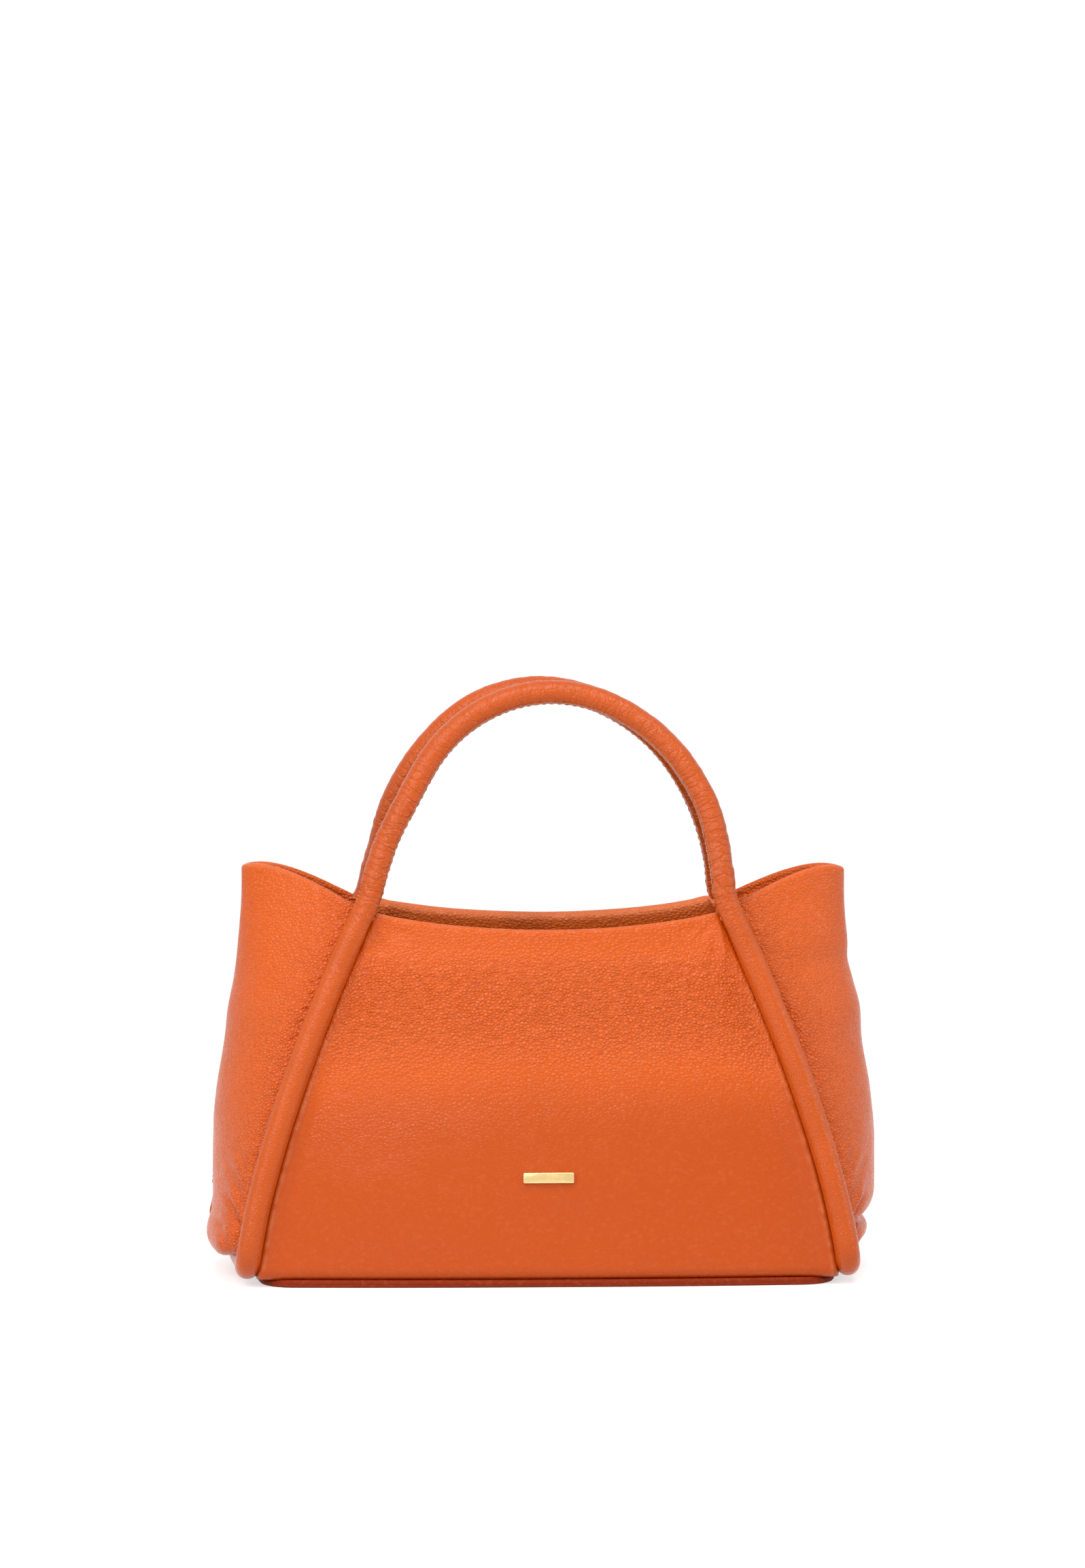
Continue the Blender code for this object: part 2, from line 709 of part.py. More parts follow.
def make_snap(materials):
    height = RIM_CENTRE_HEIGHT - SNAP_DROP
    inset = LINING_INSET + FACING + CLEARANCE
    front = wall_mount("snap_stud_place", height, inset, -1.0, True)
    disc = ring_outline(SNAP_RADIUS, SNAP_SIDES)
    stud = plate("snap_stud", disc, 0.0, SNAP_THICKNESS, materials["gold"], front)
    post_bottom = 0.5 * SNAP_THICKNESS
    post_outline = ring_outline(STUD_RADIUS, SNAP_SIDES)
    post = plate("snap_post", post_outline, post_bottom, post_bottom + STUD_HEIGHT, materials["gold"], front)
    join(stud, post)
    back = wall_mount("snap_socket_place", height, inset, 1.0, True)
    socket = plate("snap_socket", disc, 0.0, SNAP_THICKNESS, materials["gold"], back)
    hole_bottom = SNAP_THICKNESS - SOCKET_DEPTH
    hole_outline = ring_outline(STUD_RADIUS + CLEARANCE, SNAP_SIDES)
    hole = plate("snap_hole", hole_outline, hole_bottom, 2.0 * SOCKET_DEPTH, materials["gold"], back)
    cut(socket, hole)
    thickness = LINING_INSET - LEATHER - 2.0 * CLEARANCE
    for name, face in (("front_snap_washer", -1.0), ("back_snap_washer", 1.0)):
        place = wall_mount(name + "_place", height, LINING_INSET - CLEARANCE, face, False)
        plate(name, box_outline(SNAP_RADIUS, SNAP_RADIUS), 0.0, thickness, materials["steel"], place)


# Pockets and zip

def long_wall_depth(x, height):
    half_width = seam_half_width(height)
    return long_wall_point(x / half_width, height, half_width, 1.0).y


def pocket_mount(name, face, width):
    # The empty lies at the middle of the pocket's top edge, its Y up the pocket and its Z into the bag
    low = POCKET_TOP_HEIGHT - POCKET_HEIGHT
    half = 0.5 * width
    top_depth = long_wall_depth(half, POCKET_TOP_HEIGHT)
    low_depth = long_wall_depth(half, low)
    tilt = math.atan2(low_depth - top_depth, POCKET_HEIGHT)
    depth = top_depth - (LINING_INSET + LINING + POCKET_GAP) / math.cos(tilt)
    turn = 0.0 if face > 0.0 else math.pi
    matrix = Matrix.Rotation(turn, 4, "Z") @ Matrix.Rotation(0.5 * math.pi + tilt, 4, "X")
    return guide_empty(name, (0.0, face * depth, POCKET_TOP_HEIGHT), matrix.to_euler()), tilt


def moved_outline(outline, x, y):
    return [(point_x + x, point_y + y) for point_x, point_y in outline]


def make_slip_pocket(materials):
    place, _ = pocket_mount("slip_pocket_place", -1.0, SLIP_POCKET_WIDTH)
    outline = moved_outline(box_outline(SLIP_POCKET_WIDTH, POCKET_HEIGHT), 0.0, -0.5 * POCKET_HEIGHT)
    plate("slip_pocket", outline, 0.0, POCKET_SHEET, materials["lining"], place)


def make_zip_pocket(materials):
    place, tilt = pocket_mount("zip_pocket_place", 1.0, POCKET_WIDTH)
    outline = moved_outline(box_outline(POCKET_WIDTH, POCKET_HEIGHT), 0.0, -0.5 * POCKET_HEIGHT)
    sheet = plate("zip_pocket", outline, 0.0, POCKET_SHEET, materials["lining"], place)
    slot_outline = moved_outline(box_outline(ZIP_LENGTH, ZIP_SLOT_WIDTH), 0.0, -ZIP_DROP)
    slot = plate("zip_slot", slot_outline, -POCKET_SHEET, 3.0 * POCKET_SHEET, materials["tape"], place)
    cut(sheet, slot)
    tape_outline = box_outline(ZIP_LENGTH - 2.0 * CLEARANCE, ZIP_SLOT_WIDTH - 2.0 * CLEARANCE)
    tape_outline = moved_outline(tape_outline, 0.0, -ZIP_DROP)
    plate("zip_tape", tape_outline, 0.0, POCKET_SHEET, materials["tape"], place)
    make_zip_chain(materials, place)
    make_zip_slider(materials, place, tilt)


def make_zip_chain(materials, place):
    bottom = POCKET_SHEET + CLEARANCE
    chain_length = ZIP_LENGTH - 2.0 * (STOP_LENGTH + 2.0 * CLEARANCE)
    chain = moved_outline(box_outline(chain_length, CHAIN_WIDTH), 0.0, -ZIP_DROP)
    plate("zip_chain", chain, bottom, CHAIN_THICKNESS, materials["gold"], place)
    stop_x = 0.5 * (chain_length + STOP_LENGTH) + CLEARANCE
    for name, side in (("left_zip_stop", -1.0), ("right_zip_stop", 1.0)):
        stop = moved_outline(box_outline(STOP_LENGTH, CHAIN_WIDTH), side * stop_x, -ZIP_DROP)
        plate(name, stop, bottom, CHAIN_THICKNESS + CLEARANCE, materials["gold"], place)


def slider_top():
    return POCKET_SHEET + CHAIN_THICKNESS + SLIDER_PLATE + 3.0 * CLEARANCE


def make_zip_slider(materials, place, tilt):
    start_x = 0.5 * ZIP_LENGTH - STOP_LENGTH - 0.5 * SLIDER_LENGTH - 3.0 * CLEARANCE
    seat = guide_empty("zip_slider_place", (start_x, -ZIP_DROP, 0.0), parent=place)
    bottom = POCKET_SHEET + 2.0 * CLEARANCE
    body = plate("zip_slider", box_outline(SLIDER_LENGTH, SLIDER_WIDTH), bottom, slider_top() - bottom,
                 materials["gold"], seat)
    channel_outline = box_outline(2.0 * SLIDER_LENGTH, CHAIN_WIDTH + 2.0 * CLEARANCE)
    channel_top = slider_top() - SLIDER_PLATE
    channel = plate("slider_channel", channel_outline, 0.0, channel_top, materials["gold"], seat)
    cut(body, channel)
    quarter = 0.5 * math.pi
    upright = guide_empty("slider_bail_place", (0.0, 0.0, slider_top()), (quarter, 0.0, quarter), seat)
    bail = plate("slider_bail", bail_outline(), -BAIL_RADIUS, 2.0 * BAIL_RADIUS, materials["gold"], upright)
    join(body, bail)
    axis_place = (0.0, 0.0, slider_top() + PULL_AXIS_HEIGHT)
    axis = guide_empty("zip_pull_hinge", axis_place, (-tilt, 0.0, 0.0), seat)
    pull_y = 0.5 * (PULL_STRIP - PULL_LENGTH)
    pull_outline = moved_outline(box_outline(PULL_WIDTH, PULL_LENGTH), 0.0, pull_y)
    pull = plate("zip_pull", pull_outline, -0.5 * PULL_THICKNESS, PULL_THICKNESS, materials["gold"], axis)
    eye_y = -0.5 * (PULL_STRIP + PULL_EYE_LENGTH)
    eye_outline = moved_outline(box_outline(PULL_EYE_WIDTH, PULL_EYE_LENGTH), 0.0, eye_y)
    eye = plate("pull_eye", eye_outline, -PULL_THICKNESS, 2.0 * PULL_THICKNESS, materials["gold"], axis)
    cut(pull, eye)


def bail_outline():
    # An arch over the slider, sunk half the plate's thickness into it
    sunk = -0.5 * SLIDER_PLATE
    turns = [math.pi * step / BAIL_STEPS for step in range(BAIL_STEPS + 1)]
    outline = []
    for sign, ordered in ((1.0, turns), (-1.0, turns[::-1])):
        span = BAIL_HALF_SPAN + sign * BAIL_RADIUS
        height = BAIL_HEIGHT + sign * BAIL_RADIUS
        arch = []
        for turn in ordered:
            rise = max(math.sin(turn), 0.0) ** BAIL_ARCH_POWER
            arch.append((span * math.cos(turn), height * rise))
        outline += [(arch[0][0], sunk)] + arch + [(arch[-1][0], sunk)]
    return outline


# Strap rings

def ring_bar_x():
    return SIDE_RIM_HALF_WIDTH - LINING_INSET - FACING - RING_BAR_INSET


def make_strap_rings(materials):
    height = SIDE_RIM_HEIGHT + SIDE_RIM_RISE - RING_DROP
    for side_name, side in (("left", -1.0), ("right", 1.0)):
        make_ring_tab(materials, side_name, side, height)
        hinge = guide_empty(side_name + "_ring_hinge", (side * ring_bar_x(), 0.0, height))
        points = [Vector((0.0, 0.0, -0.5 * RING_HALF_HEIGHT)), Vector((0.0, 0.0, 0.5 * RING_HALF_HEIGHT))]
        for step in range(RING_ARC_STEPS + 1):
            turn = math.pi * step / RING_ARC_STEPS
            reach = -side * RING_REACH * math.sin(turn)
            points.append(Vector((reach, 0.0, RING_HALF_HEIGHT * math.cos(turn))))
        tube(side_name + "_strap_ring", points, RING_WIRE_RADIUS, materials["gold"], parent=hinge,
             steps=RING_BEVEL_STEPS, closed=True)


def make_ring_tab(materials, side_name, side, height):
    bore = RING_WIRE_RADIUS + CLEARANCE
    radius = bore + TAB_LEATHER
    tail = RING_BAR_INSET - TAB_SEAT_GAP
    start = math.asin(0.5 * TAB_TAIL / radius)
    end = 2.0 * math.pi - start
    turns = [between(start, end, step / TAB_ARC_STEPS) for step in range(TAB_ARC_STEPS + 1)]
    outline = [(tail, -0.5 * TAB_TAIL), (tail, 0.5 * TAB_TAIL)]
    outline += [(radius * math.cos(turn), radius * math.sin(turn)) for turn in turns]
    place = guide_empty(side_name + "_tab_place", (side * ring_bar_x(), 0.0, height))
    outline = [(side * x, y) for x, y in outline]
    tab = plate(side_name + "_ring_tab", outline, -0.5 * TAB_WIDTH, TAB_WIDTH, materials["facing"], place)
    hole = plate(side_name + "_tab_hole", ring_outline(bore, TAB_ARC_STEPS), -TAB_WIDTH, 2.0 * TAB_WIDTH,
                 materials["facing"], place)
    cut(tab, hole)


def build():
    remove_objects()
    materials = make_materials()
    make_outer_panels(materials)
    make_stiffeners(materials)
    make_base(materials)
    make_leg_tubes(materials)
    make_handles(materials)
    make_lining(materials)
    make_facing(materials)
    make_name_plate(materials)
    make_snap(materials)
    make_slip_pocket(materials)
    make_zip_pocket(materials)
    make_strap_rings(materials)


build()
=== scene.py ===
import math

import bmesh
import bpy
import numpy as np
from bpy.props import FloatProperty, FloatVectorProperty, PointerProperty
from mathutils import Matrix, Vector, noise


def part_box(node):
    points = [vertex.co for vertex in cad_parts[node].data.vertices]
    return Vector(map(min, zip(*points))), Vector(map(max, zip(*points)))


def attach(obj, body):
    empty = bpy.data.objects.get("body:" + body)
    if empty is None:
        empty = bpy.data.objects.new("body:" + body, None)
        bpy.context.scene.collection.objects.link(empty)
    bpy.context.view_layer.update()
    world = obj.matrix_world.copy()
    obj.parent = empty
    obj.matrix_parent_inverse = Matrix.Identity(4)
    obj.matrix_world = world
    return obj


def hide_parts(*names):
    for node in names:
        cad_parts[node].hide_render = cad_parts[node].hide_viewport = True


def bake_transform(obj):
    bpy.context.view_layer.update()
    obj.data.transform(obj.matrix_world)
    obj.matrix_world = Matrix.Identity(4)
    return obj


bl_info = {
    "name": "Shopper bag",
    "version": (1, 0, 0),
    "blender": (4, 5, 0),
    "location": "View3D > Sidebar > Bag",
    "description": "Dresses a leather shopper bag with rolled tube handles and sets its studio",
    "category": "Object",
}

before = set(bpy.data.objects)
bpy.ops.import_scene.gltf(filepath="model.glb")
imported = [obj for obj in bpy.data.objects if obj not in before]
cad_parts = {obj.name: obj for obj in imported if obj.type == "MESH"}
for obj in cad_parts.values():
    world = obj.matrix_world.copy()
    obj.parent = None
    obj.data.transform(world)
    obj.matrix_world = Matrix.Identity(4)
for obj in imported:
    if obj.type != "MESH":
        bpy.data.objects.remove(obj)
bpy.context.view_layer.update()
MM = 0.001
ACROSS = np.array((0.0, 1.0, 0.0))
UP = np.array((0.0, 0.0, 1.0))
FACES = (("front", -1.0), ("back", 1.0))
SIDES = (("left", -1.0), ("right", 1.0))

# How finely the larger pieces are divided: columns and rows
LONG_WALL_GRID = (230, 120)
SIDE_WALL_GRID = (180, 186)
HEM_ROWS = 26
LONG_TUBE_COLUMNS = 56
BASE_TUBE_COLUMNS = 48
TUBE_STEP = 0.8 * MM
FACING_GRID = (320, 24)
LINING_GRID = (300, 90)


def length(name, description, default):
    """A length in metres that shows in the sidebar."""
    return FloatProperty(name=name, description=description, default=default, unit="LENGTH", precision=4)


def angle(name, description, degrees):
    """An angle that shows in the sidebar."""
    return FloatProperty(name=name, description=description, default=math.radians(degrees), subtype="ANGLE")


def share(name, description, default):
    """A plain number that shows in the sidebar."""
    return FloatProperty(name=name, description=description, default=default)


def colour(name, description, default):
    """A colour in linear light that shows in the sidebar."""
    return FloatVectorProperty(name=name, description=description, default=default, size=4, subtype="COLOR",
                               min=0.0, max=1.0)


class BagBodySizes(bpy.types.PropertyGroup):
    """Sizes of the leather body, most of them the same as the solids'."""
    base_half_width: length("Base half width", "Half the width between the seams at the base", 143.5 * MM)
    rim_half_width: length("Rim half width", "Half the width between the seams at the rim", 86.0 * MM)
    seam_power: share("Seam curve", "How late the seams lean in towards the rim", 1.46)
    base_half_depth: length("Base half depth", "Half the depth between the seams at the base", 60.0 * MM)
    rim_half_depth: length("Rim half depth", "Half the depth between the seams at the rim", 36.0 * MM)
    depth_power: share("Depth curve", "How late the long walls lean in towards the rim", 1.6)
    seam_rim_height: length("Seam rim height", "Height at which the seams reach the rim", 179.0 * MM)
    panel_bow: length("Panel bow", "How far the middle of a long wall stands out", 5.0 * MM)
    side_half_width: length("Side half width", "Half the width over the swollen side walls", 160.5 * MM)
    side_rim_half_width: length("Side rim half width", "Half the width over the rim's points", 145.5 * MM)
    swell_height: length("Swell height", "Height up to which the side walls stay wide", 50.0 * MM)
    fold_height: length("Fold height", "Height at which the side walls are narrowest", 185.0 * MM)
    side_tuck: length("Side tuck", "How far the side walls draw in above the base tube", 8.7 * MM)
    side_tuck_height: length("Side tuck height", "Height at which the draw starts", 27.5 * MM)
    side_seat: length("Side seat", "How far above a base tube's middle a side wall ends", 4.8 * MM)
    rim_centre_height: length("Rim centre height", "Height of a long wall's rim at its middle", 168.5 * MM)
    rim_centre_rise: length("Rim centre rise", "Rise of that rim towards the tubes", 8.0 * MM)
    side_rim_height: length("Side rim height", "Height of a side wall's rim at the tubes", 179.5 * MM)
    side_rim_rise: length("Side rim rise", "Rise of that rim towards its point", 18.0 * MM)
    leather: length("Leather", "Thickness of the leather that shows at an edge", 1.3 * MM)
    rim_roll: length("Rim roll", "Radius of the turned edge of the front rim and the side rims", 2.1 * MM)
    back_rim_roll: length("Back rim roll", "Radius of the turned edge of the back rim", 3.4 * MM)
    back_rim_lift: length("Back rim lift", "How much higher the soft edge of the back wall stands", 2.8 * MM)
    rim_hem: length("Rim hem", "How far the turned leather goes down inside", 13.0 * MM)
    lining_inset: length("Lining inset", "Distance from the outside of a wall to its lining", 3.8 * MM)
    facing_width: length("Facing width", "Width of the leather facing inside the rim", 30.0 * MM)
    base_side_bow: length("Base side bow", "How far the short sides of the base bow out", 5.0 * MM)
    base_thickness: length("Base thickness", "Thickness of the leather base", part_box("base_panel")[1][2])


class BagTubeSizes(bpy.types.PropertyGroup):
    """Sizes of the rolled tubes, those of their paths the same as the solids'."""
    radius: length("Tube radius", "Radius of a rolled tube", 6.0 * MM)
    proud: length("Tube stand-off", "How far a tube's middle stands out from its seam", 3.4 * MM)
    top_height: length("Tube top height", "Height at which a leg passes into its handle", 183.0 * MM)
    base_height: length("Base tube height", "Height of the base tube's middle at its ends", 9.6 * MM)
    elbow: length("Elbow radius", "Radius of the bend at a bottom corner", 8.0 * MM)
    base_bow: length("Base tube bow", "How far a base tube bows out at its middle", 4.0 * MM)
    base_rise: length("Base tube rise", "How far a base tube rises at its middle", 1.0 * MM)
    base_lead: length("Base tube lead", "Straight length at each end of a base tube", 3.0 * MM)
    handle_half_width: length("Handle half width", "Half the width of a handle's curve", 85.47 * MM)
    handle_centre_height: length("Handle centre height", "Height of that curve's centre", 170.0 * MM)
    handle_top_height: length("Handle top height", "Height of that curve's top", 281.0 * MM)
    handle_top_half_depth: length("Handle top half depth", "Half the distance between the tops", 9.5 * MM)
    front_lean: length("Front handle lean", "How far the front handle leans to the right", 3.5 * MM)
    back_lean: length("Back handle lean", "How far the back handle leans to the right", 1.5 * MM)
    front_drop: length("Front handle drop", "How much lower the top of the front handle hangs", 1.4 * MM)
    hinge_height: length("Hinge height", "Height at which a handle folds", 189.7 * MM)
    hinge_half_depth: length("Hinge half depth", "Half the distance between the hinges", 38.54 * MM)
    seam_sink: length("Seam sink", "How far the seam of a tube lies below its leather", 0.55 * MM)
    seam_turn: angle("Seam turn", "How far the seam is turned from the inside of the loop", 5.0)
    seam_half_angle: angle("Seam half angle", "Half the angle that the sunk seam takes", 33.0)
    stitch_pitch: length("Stitch pitch", "Distance from one stitch to the next", 4.2 * MM)


class BagFinish(bpy.types.PropertyGroup):
    """Colours and grain sizes."""
    leather_colour: colour("Leather", "Colour of the orange leather", (0.700, 0.110, 0.0070, 1.0))
    # Also painted along the tubes' creases as shade
    groove_and_crease_shade_colour: colour("Grain leather", "Colour in the grooves of the grain", (0.470, 0.058, 0.005, 1.0))
    # Also painted on as highlights along the rims and beside the tubes
    pale_edge_and_highlight_colour: colour("Leather on edges", "Colour of rubbed and cut edges", (0.900, 0.320, 0.130, 1.0))
    # Darker than the walls' leather: painted shade under the bag
    base_colour: colour("Base leather", "Colour of the leather under the bag", (0.300, 0.029, 0.003, 1.0))
    tube_colour: colour("Tube leather", "Colour of the tubes", (0.575, 0.087, 0.0050, 1.0))
    lining_colour: colour("Lining", "Colour of the lining cloth", (0.420, 0.320, 0.210, 1.0))
    tape_colour: colour("Zip tape", "Colour of the zip tape", (0.250, 0.180, 0.110, 1.0))
    thread_colour: colour("Thread", "Colour of the stitches", (0.850, 0.260, 0.090, 1.0))
    gold_colour: colour("Gold", "Colour of the metal fittings", (0.830, 0.610, 0.280, 1.0))
    steel_colour: colour("Steel", "Colour of the hidden washers", (0.560, 0.560, 0.580, 1.0))
    board_colour: colour("Board", "Colour of the hidden base board", (0.120, 0.090, 0.060, 1.0))
    grain_size: length("Grain size", "Distance between pebbles of the leather", 1.9 * MM)
    grain_depth: length("Grain depth", "Height of the pebbles of the leather", 0.36 * MM)
    weave_size: length("Weave size", "Distance between threads of the lining", 0.9 * MM)


class BagFittingSizes(bpy.types.PropertyGroup):
    """Sizes and places of the metal fittings, the pockets and the zip."""
    bar_width: length("Bar width", "Width of the blank bar on the front", 24.0 * MM)
    bar_height: length("Bar height", "Height of that bar", 5.0 * MM)
    bar_centre_height: length("Bar place", "Height of the bar's middle above the ground", 52.0 * MM)
    snap_drop: length("Snap drop", "Distance from the rim down to the snap", 16.0 * MM)
    snap_inset: length("Snap inset", "Distance from the outside of a wall to the back of the snap", 5.2 * MM)
    ring_bar_half_width: length("Ring place", "Half the distance between the two rings' bars", 133.6 * MM)
    ring_height: length("Ring height", "Height of the middle of a ring", 185.5 * MM)
    ring_half_height: length("Ring half height", "Half the height of a ring", 8.0 * MM)
    ring_reach: length("Ring reach", "How far a ring stands into the bag", 12.0 * MM)
    ring_wire: length("Ring wire", "Radius of a ring's wire", 1.2 * MM)
    pocket_top_height: length("Pocket top", "Height of the pockets' top edges", 128.0 * MM)
    pocket_height: length("Pocket height", "Height of a pocket", 84.0 * MM)
    pocket_inset: length("Pocket inset", "Distance from the outside of a wall to its pocket", 5.1 * MM)
    slip_pocket_width: length("Slip pocket width", "Width of the open pocket", 130.0 * MM)
    zip_pocket_width: length("Zip pocket width", "Width of the pocket with the zip", 150.0 * MM)
    zip_length: length("Zip length", "Length of the zip's slot", 116.0 * MM)
    zip_slot_width: length("Zip slot width", "Width of the zip's slot", 9.0 * MM)
    zip_drop: length("Zip drop", "Distance from the pocket's top edge to the zip", 14.0 * MM)


class StudioSizes(bpy.types.PropertyGroup):
    """Camera and lights."""
    camera_turn: angle("Camera turn", "Turn of the camera about the bag", -2.3)
    camera_lift: angle("Camera lift", "Angle of the camera above level", 5.0)
    camera_distance: length("Camera distance", "Distance from the camera to the bag", 2.5)
    camera_centre_height: length("Camera centre height", "Height that the camera turns about", 0.145)
    lens: FloatProperty(name="Lens", description="Focal length of the camera", default=118.8, unit="CAMERA")
    shift_x: share("Shift across", "Sideways shift of the camera's view", -0.0006)
    shift_y: share("Shift up", "Upward shift of the camera's view", 0.119)
    key_power: share("Key light", "Power of the lamp at the front left, in watts", 14.2)
    fill_power: share("Fill light", "Power of the small lamp in front, in watts", 10.4)
    top_power: share("Top light", "Power of the lamp above, in watts", 12.0)
    side_power: share("Side light", "Power of the lamp at the right, in watts", 10.608)
    strip_power: share("Strip light", "Power of the narrow lamp at the left, in watts", 8.0)
    air_strength: share("Air light", "Strength of the light from all round", 0.38)
    floor_glow: share("Floor glow", "Glow of the floor that only the camera and reflections see", 0.60)
    floor_colour: colour("Floor", "Colour of the floor and backdrop", (0.740, 0.740, 0.740, 1.0))


# Outline of the body, worked out for whole arrays of points

def smooth_share(value):
    """Goes from 0 to 1 with soft ends."""
    held = np.clip(value, 0.0, 1.0)
    return held * held * (3.0 - 2.0 * held)


def eased(value, start, reach):
    """Goes softly from 0 at the start to 1 a reach further on, both in millimetres."""
    return smooth_share((value - start * MM) / (reach * MM))


def falling(value, end, reach):
    """Goes softly from 1 to 0 over a reach that stops at the end, both in millimetres."""
    return smooth_share((end * MM - value) / (reach * MM))


def bell(value, middle, reach):
    """1 at the middle, falling to 0 past the reach on both sides, both in millimetres."""
    return np.exp(-((value - middle * MM) / (reach * MM)) ** 2)


def fade(value, reach):
    """Falls from 1 at zero to 0 at the reach in millimetres, fastest at first."""
    return (1.0 - np.clip(value / (reach * MM), 0.0, 1.0)) ** 2


def between(start, end, part):
    """The value a part of the way from start to end."""
    return start + (end - start) * part


def stack(x, y, z):
    """Points from their three coordinates."""
    return np.stack(np.broadcast_arrays(x, y, z), axis=-1)


def unit(vectors):
    """Vectors of length one."""
    return vectors / np.maximum(np.linalg.norm(vectors, axis=-1, keepdims=True), 1e-9)


def noise_at(points, size, seed):
    """Smooth noise from about -1 to 1 whose bumps are as far apart as size."""
    shift = Vector((seed * 7.31, seed * 3.17, seed * 5.53))
    return np.array([noise.noise(Vector(point) / size + shift) for point in points])


class BodyShape:
    """The walls of the bag as functions of a place along them and a height."""
    RIM_CREST = 0.70  # the share of a side wall's half, from the tube, at which its rim is highest

    def __init__(self):
        self.body = bpy.context.scene.bag_body
        self.tube = bpy.context.scene.bag_tubes

    def seam_half_width(self, z):
        """Half the width between the seams at a height."""
        part = np.maximum(z, 0.0) / self.body.seam_rim_height
        return between(self.body.base_half_width, self.body.rim_half_width, part ** self.body.seam_power)

    def seam_half_depth(self, z):
        """Half the depth between the seams at a height."""
        part = np.maximum(z, 0.0) / self.body.seam_rim_height
        return between(self.body.base_half_depth, self.body.rim_half_depth, part ** self.body.depth_power)

    def base_tube_share(self, y):
        """How far the base tube has risen and bowed, from 0 at its ends to 1."""
        reach = self.body.base_half_depth + self.tube.proud - self.tube.elbow - 2.0 * self.tube.base_lead
        part = np.minimum(np.abs(y) / reach, 1.0)
        return (1.0 - part * part) ** 2

    def base_tube_height(self, y):
        """Height of the base tube's centre line."""
        return self.tube.base_height + self.tube.base_rise * self.base_tube_share(y)

    def side_half_width(self, z):
        """Half the width over the side walls at a height."""
        body = self.body
        swell = smooth_share((z - body.swell_height) / (body.fold_height - body.swell_height))
        width = between(body.side_half_width, body.side_rim_half_width, swell)
        bottom = self.base_tube_height(0.0) + body.side_seat
        tuck = np.clip((body.side_tuck_height - z) / (body.side_tuck_height - bottom), 0.0, 1.0)
        return width - body.side_tuck * (1.0 - np.sqrt(1.0 - 0.985 * tuck * tuck)) / 0.88

    def long_rim(self, part):
        """Height of a long wall's rim, for a share from -1 to 1 across it."""
        return self.body.rim_centre_height + self.body.rim_centre_rise * part * part

    def side_rim(self, place):
        """Height of a side wall's rim, for a place from 0 to 2 along it."""
        step = 1.0 - np.abs(place - 1.0)
        rise = np.sin(0.5 * math.pi * np.clip(step / self.RIM_CREST, 0.0, 1.0)) ** 1.15
        tip = 1.0 * MM * smooth_share((step - self.RIM_CREST) / 0.30)
        return self.body.side_rim_height + self.body.side_rim_rise * rise - tip

    def long_wall(self, part, z, half_width, face):
        """The outside of a long wall, slightly bowed."""
        x = part * half_width
        bow = np.minimum(np.abs(x) / self.seam_half_width(z), 1.0)
        depth = self.seam_half_depth(z) + self.body.panel_bow * (1.0 - bow * bow)
        return stack(x, face * depth, z)

    def side_wall(self, place, z, half_width, reach, side):
        """The outside of a side wall: two curves from the seams that meet where it reaches furthest out."""
        step = 1.0 - np.abs(place - 1.0)
        face = np.where(place <= 1.0, -1.0, 1.0)
        rise = np.clip(z / self.body.seam_rim_height, 0.0, 1.0)
        depth = self.seam_half_depth(z)
        lead_x = half_width + (reach - half_width) * between(0.60, 0.50, rise)
        lead_y = depth * between(0.98, 0.78, rise)
        tip_y = depth * between(0.50, 0.32, rise)
        rest = 1.0 - step
        weights = (rest ** 3, 3.0 * rest * rest * step, 3.0 * rest * step * step, step ** 3)
        x = sum(weight * value for weight, value in zip(weights, (half_width, lead_x, reach, reach)))
        y = sum(weight * value for weight, value in zip(weights[:3], (depth, lead_y, tip_y)))
        return stack(side * x, face * y, z)

    def lining_swell(self, z):
        """How far the lining follows the side walls' swell at a height."""
        start = self.base_tube_height(0.0) + self.tube.radius
        return smooth_share((z - start) / (self.body.swell_height - start))

    def mouth_wall(self, turn, z):
        """The outside of the wall at a turn from 0 to 4 round the bag: front, right, back, left."""
        wall = np.floor(turn) % 4
        part = turn - np.floor(turn)
        inner = self.body.base_half_width - 2.0 * self.tube.radius
        swell = self.lining_swell(z)
        seam = between(inner, self.seam_half_width(z), swell)
        reach = between(inner + self.body.base_side_bow, self.side_half_width(z), swell)
        along = 2.0 * part - 1.0
        front = self.long_wall(along, z, seam, -1.0)
        back = self.long_wall(-along, z, seam, 1.0)
        right = self.side_wall(2.0 * part, z, seam, reach, 1.0)
        left = self.side_wall(2.0 - 2.0 * part, z, seam, reach, -1.0)
        choose = wall[..., None]
        return np.select([choose == 0, choose == 1, choose == 2], [front, right, back], left)

    def mouth_rim(self, turn):
        """Height of the rim at a turn from 0 to 4 round the bag."""
        wall = np.floor(turn) % 4
        part = turn - np.floor(turn)
        return np.where(wall % 2 == 0, self.long_rim(2.0 * part - 1.0), self.side_rim(2.0 * part))


# Making and finishing a piece

def select_only(piece):
    """Leaves this object alone selected and active."""
    bpy.ops.object.select_all(action="DESELECT")
    piece.select_set(True)
    bpy.context.view_layer.objects.active = piece


def added(name):
    """Names the object that an operator has just added."""
    piece = bpy.context.object
    piece.name = name
    piece.data.name = name
    return piece


def points_of(piece):
    """The piece's points as an array."""
    flat = np.empty(len(piece.data.vertices) * 3)
    piece.data.vertices.foreach_get("co", flat)
    return flat.reshape(-1, 3)


def set_points(piece, points):
    """Moves every point of the piece."""
    piece.data.vertices.foreach_set("co", np.ascontiguousarray(points, dtype=np.float64).ravel())
    piece.data.update()


def weld(piece):
    """Closes the seam or poles of a piece."""
    select_only(piece)
    bpy.ops.object.mode_set(mode="EDIT")
    bpy.ops.mesh.select_all(action="SELECT")
    bpy.ops.mesh.remove_doubles(threshold=0.01 * MM)
    bpy.ops.object.mode_set(mode="OBJECT")


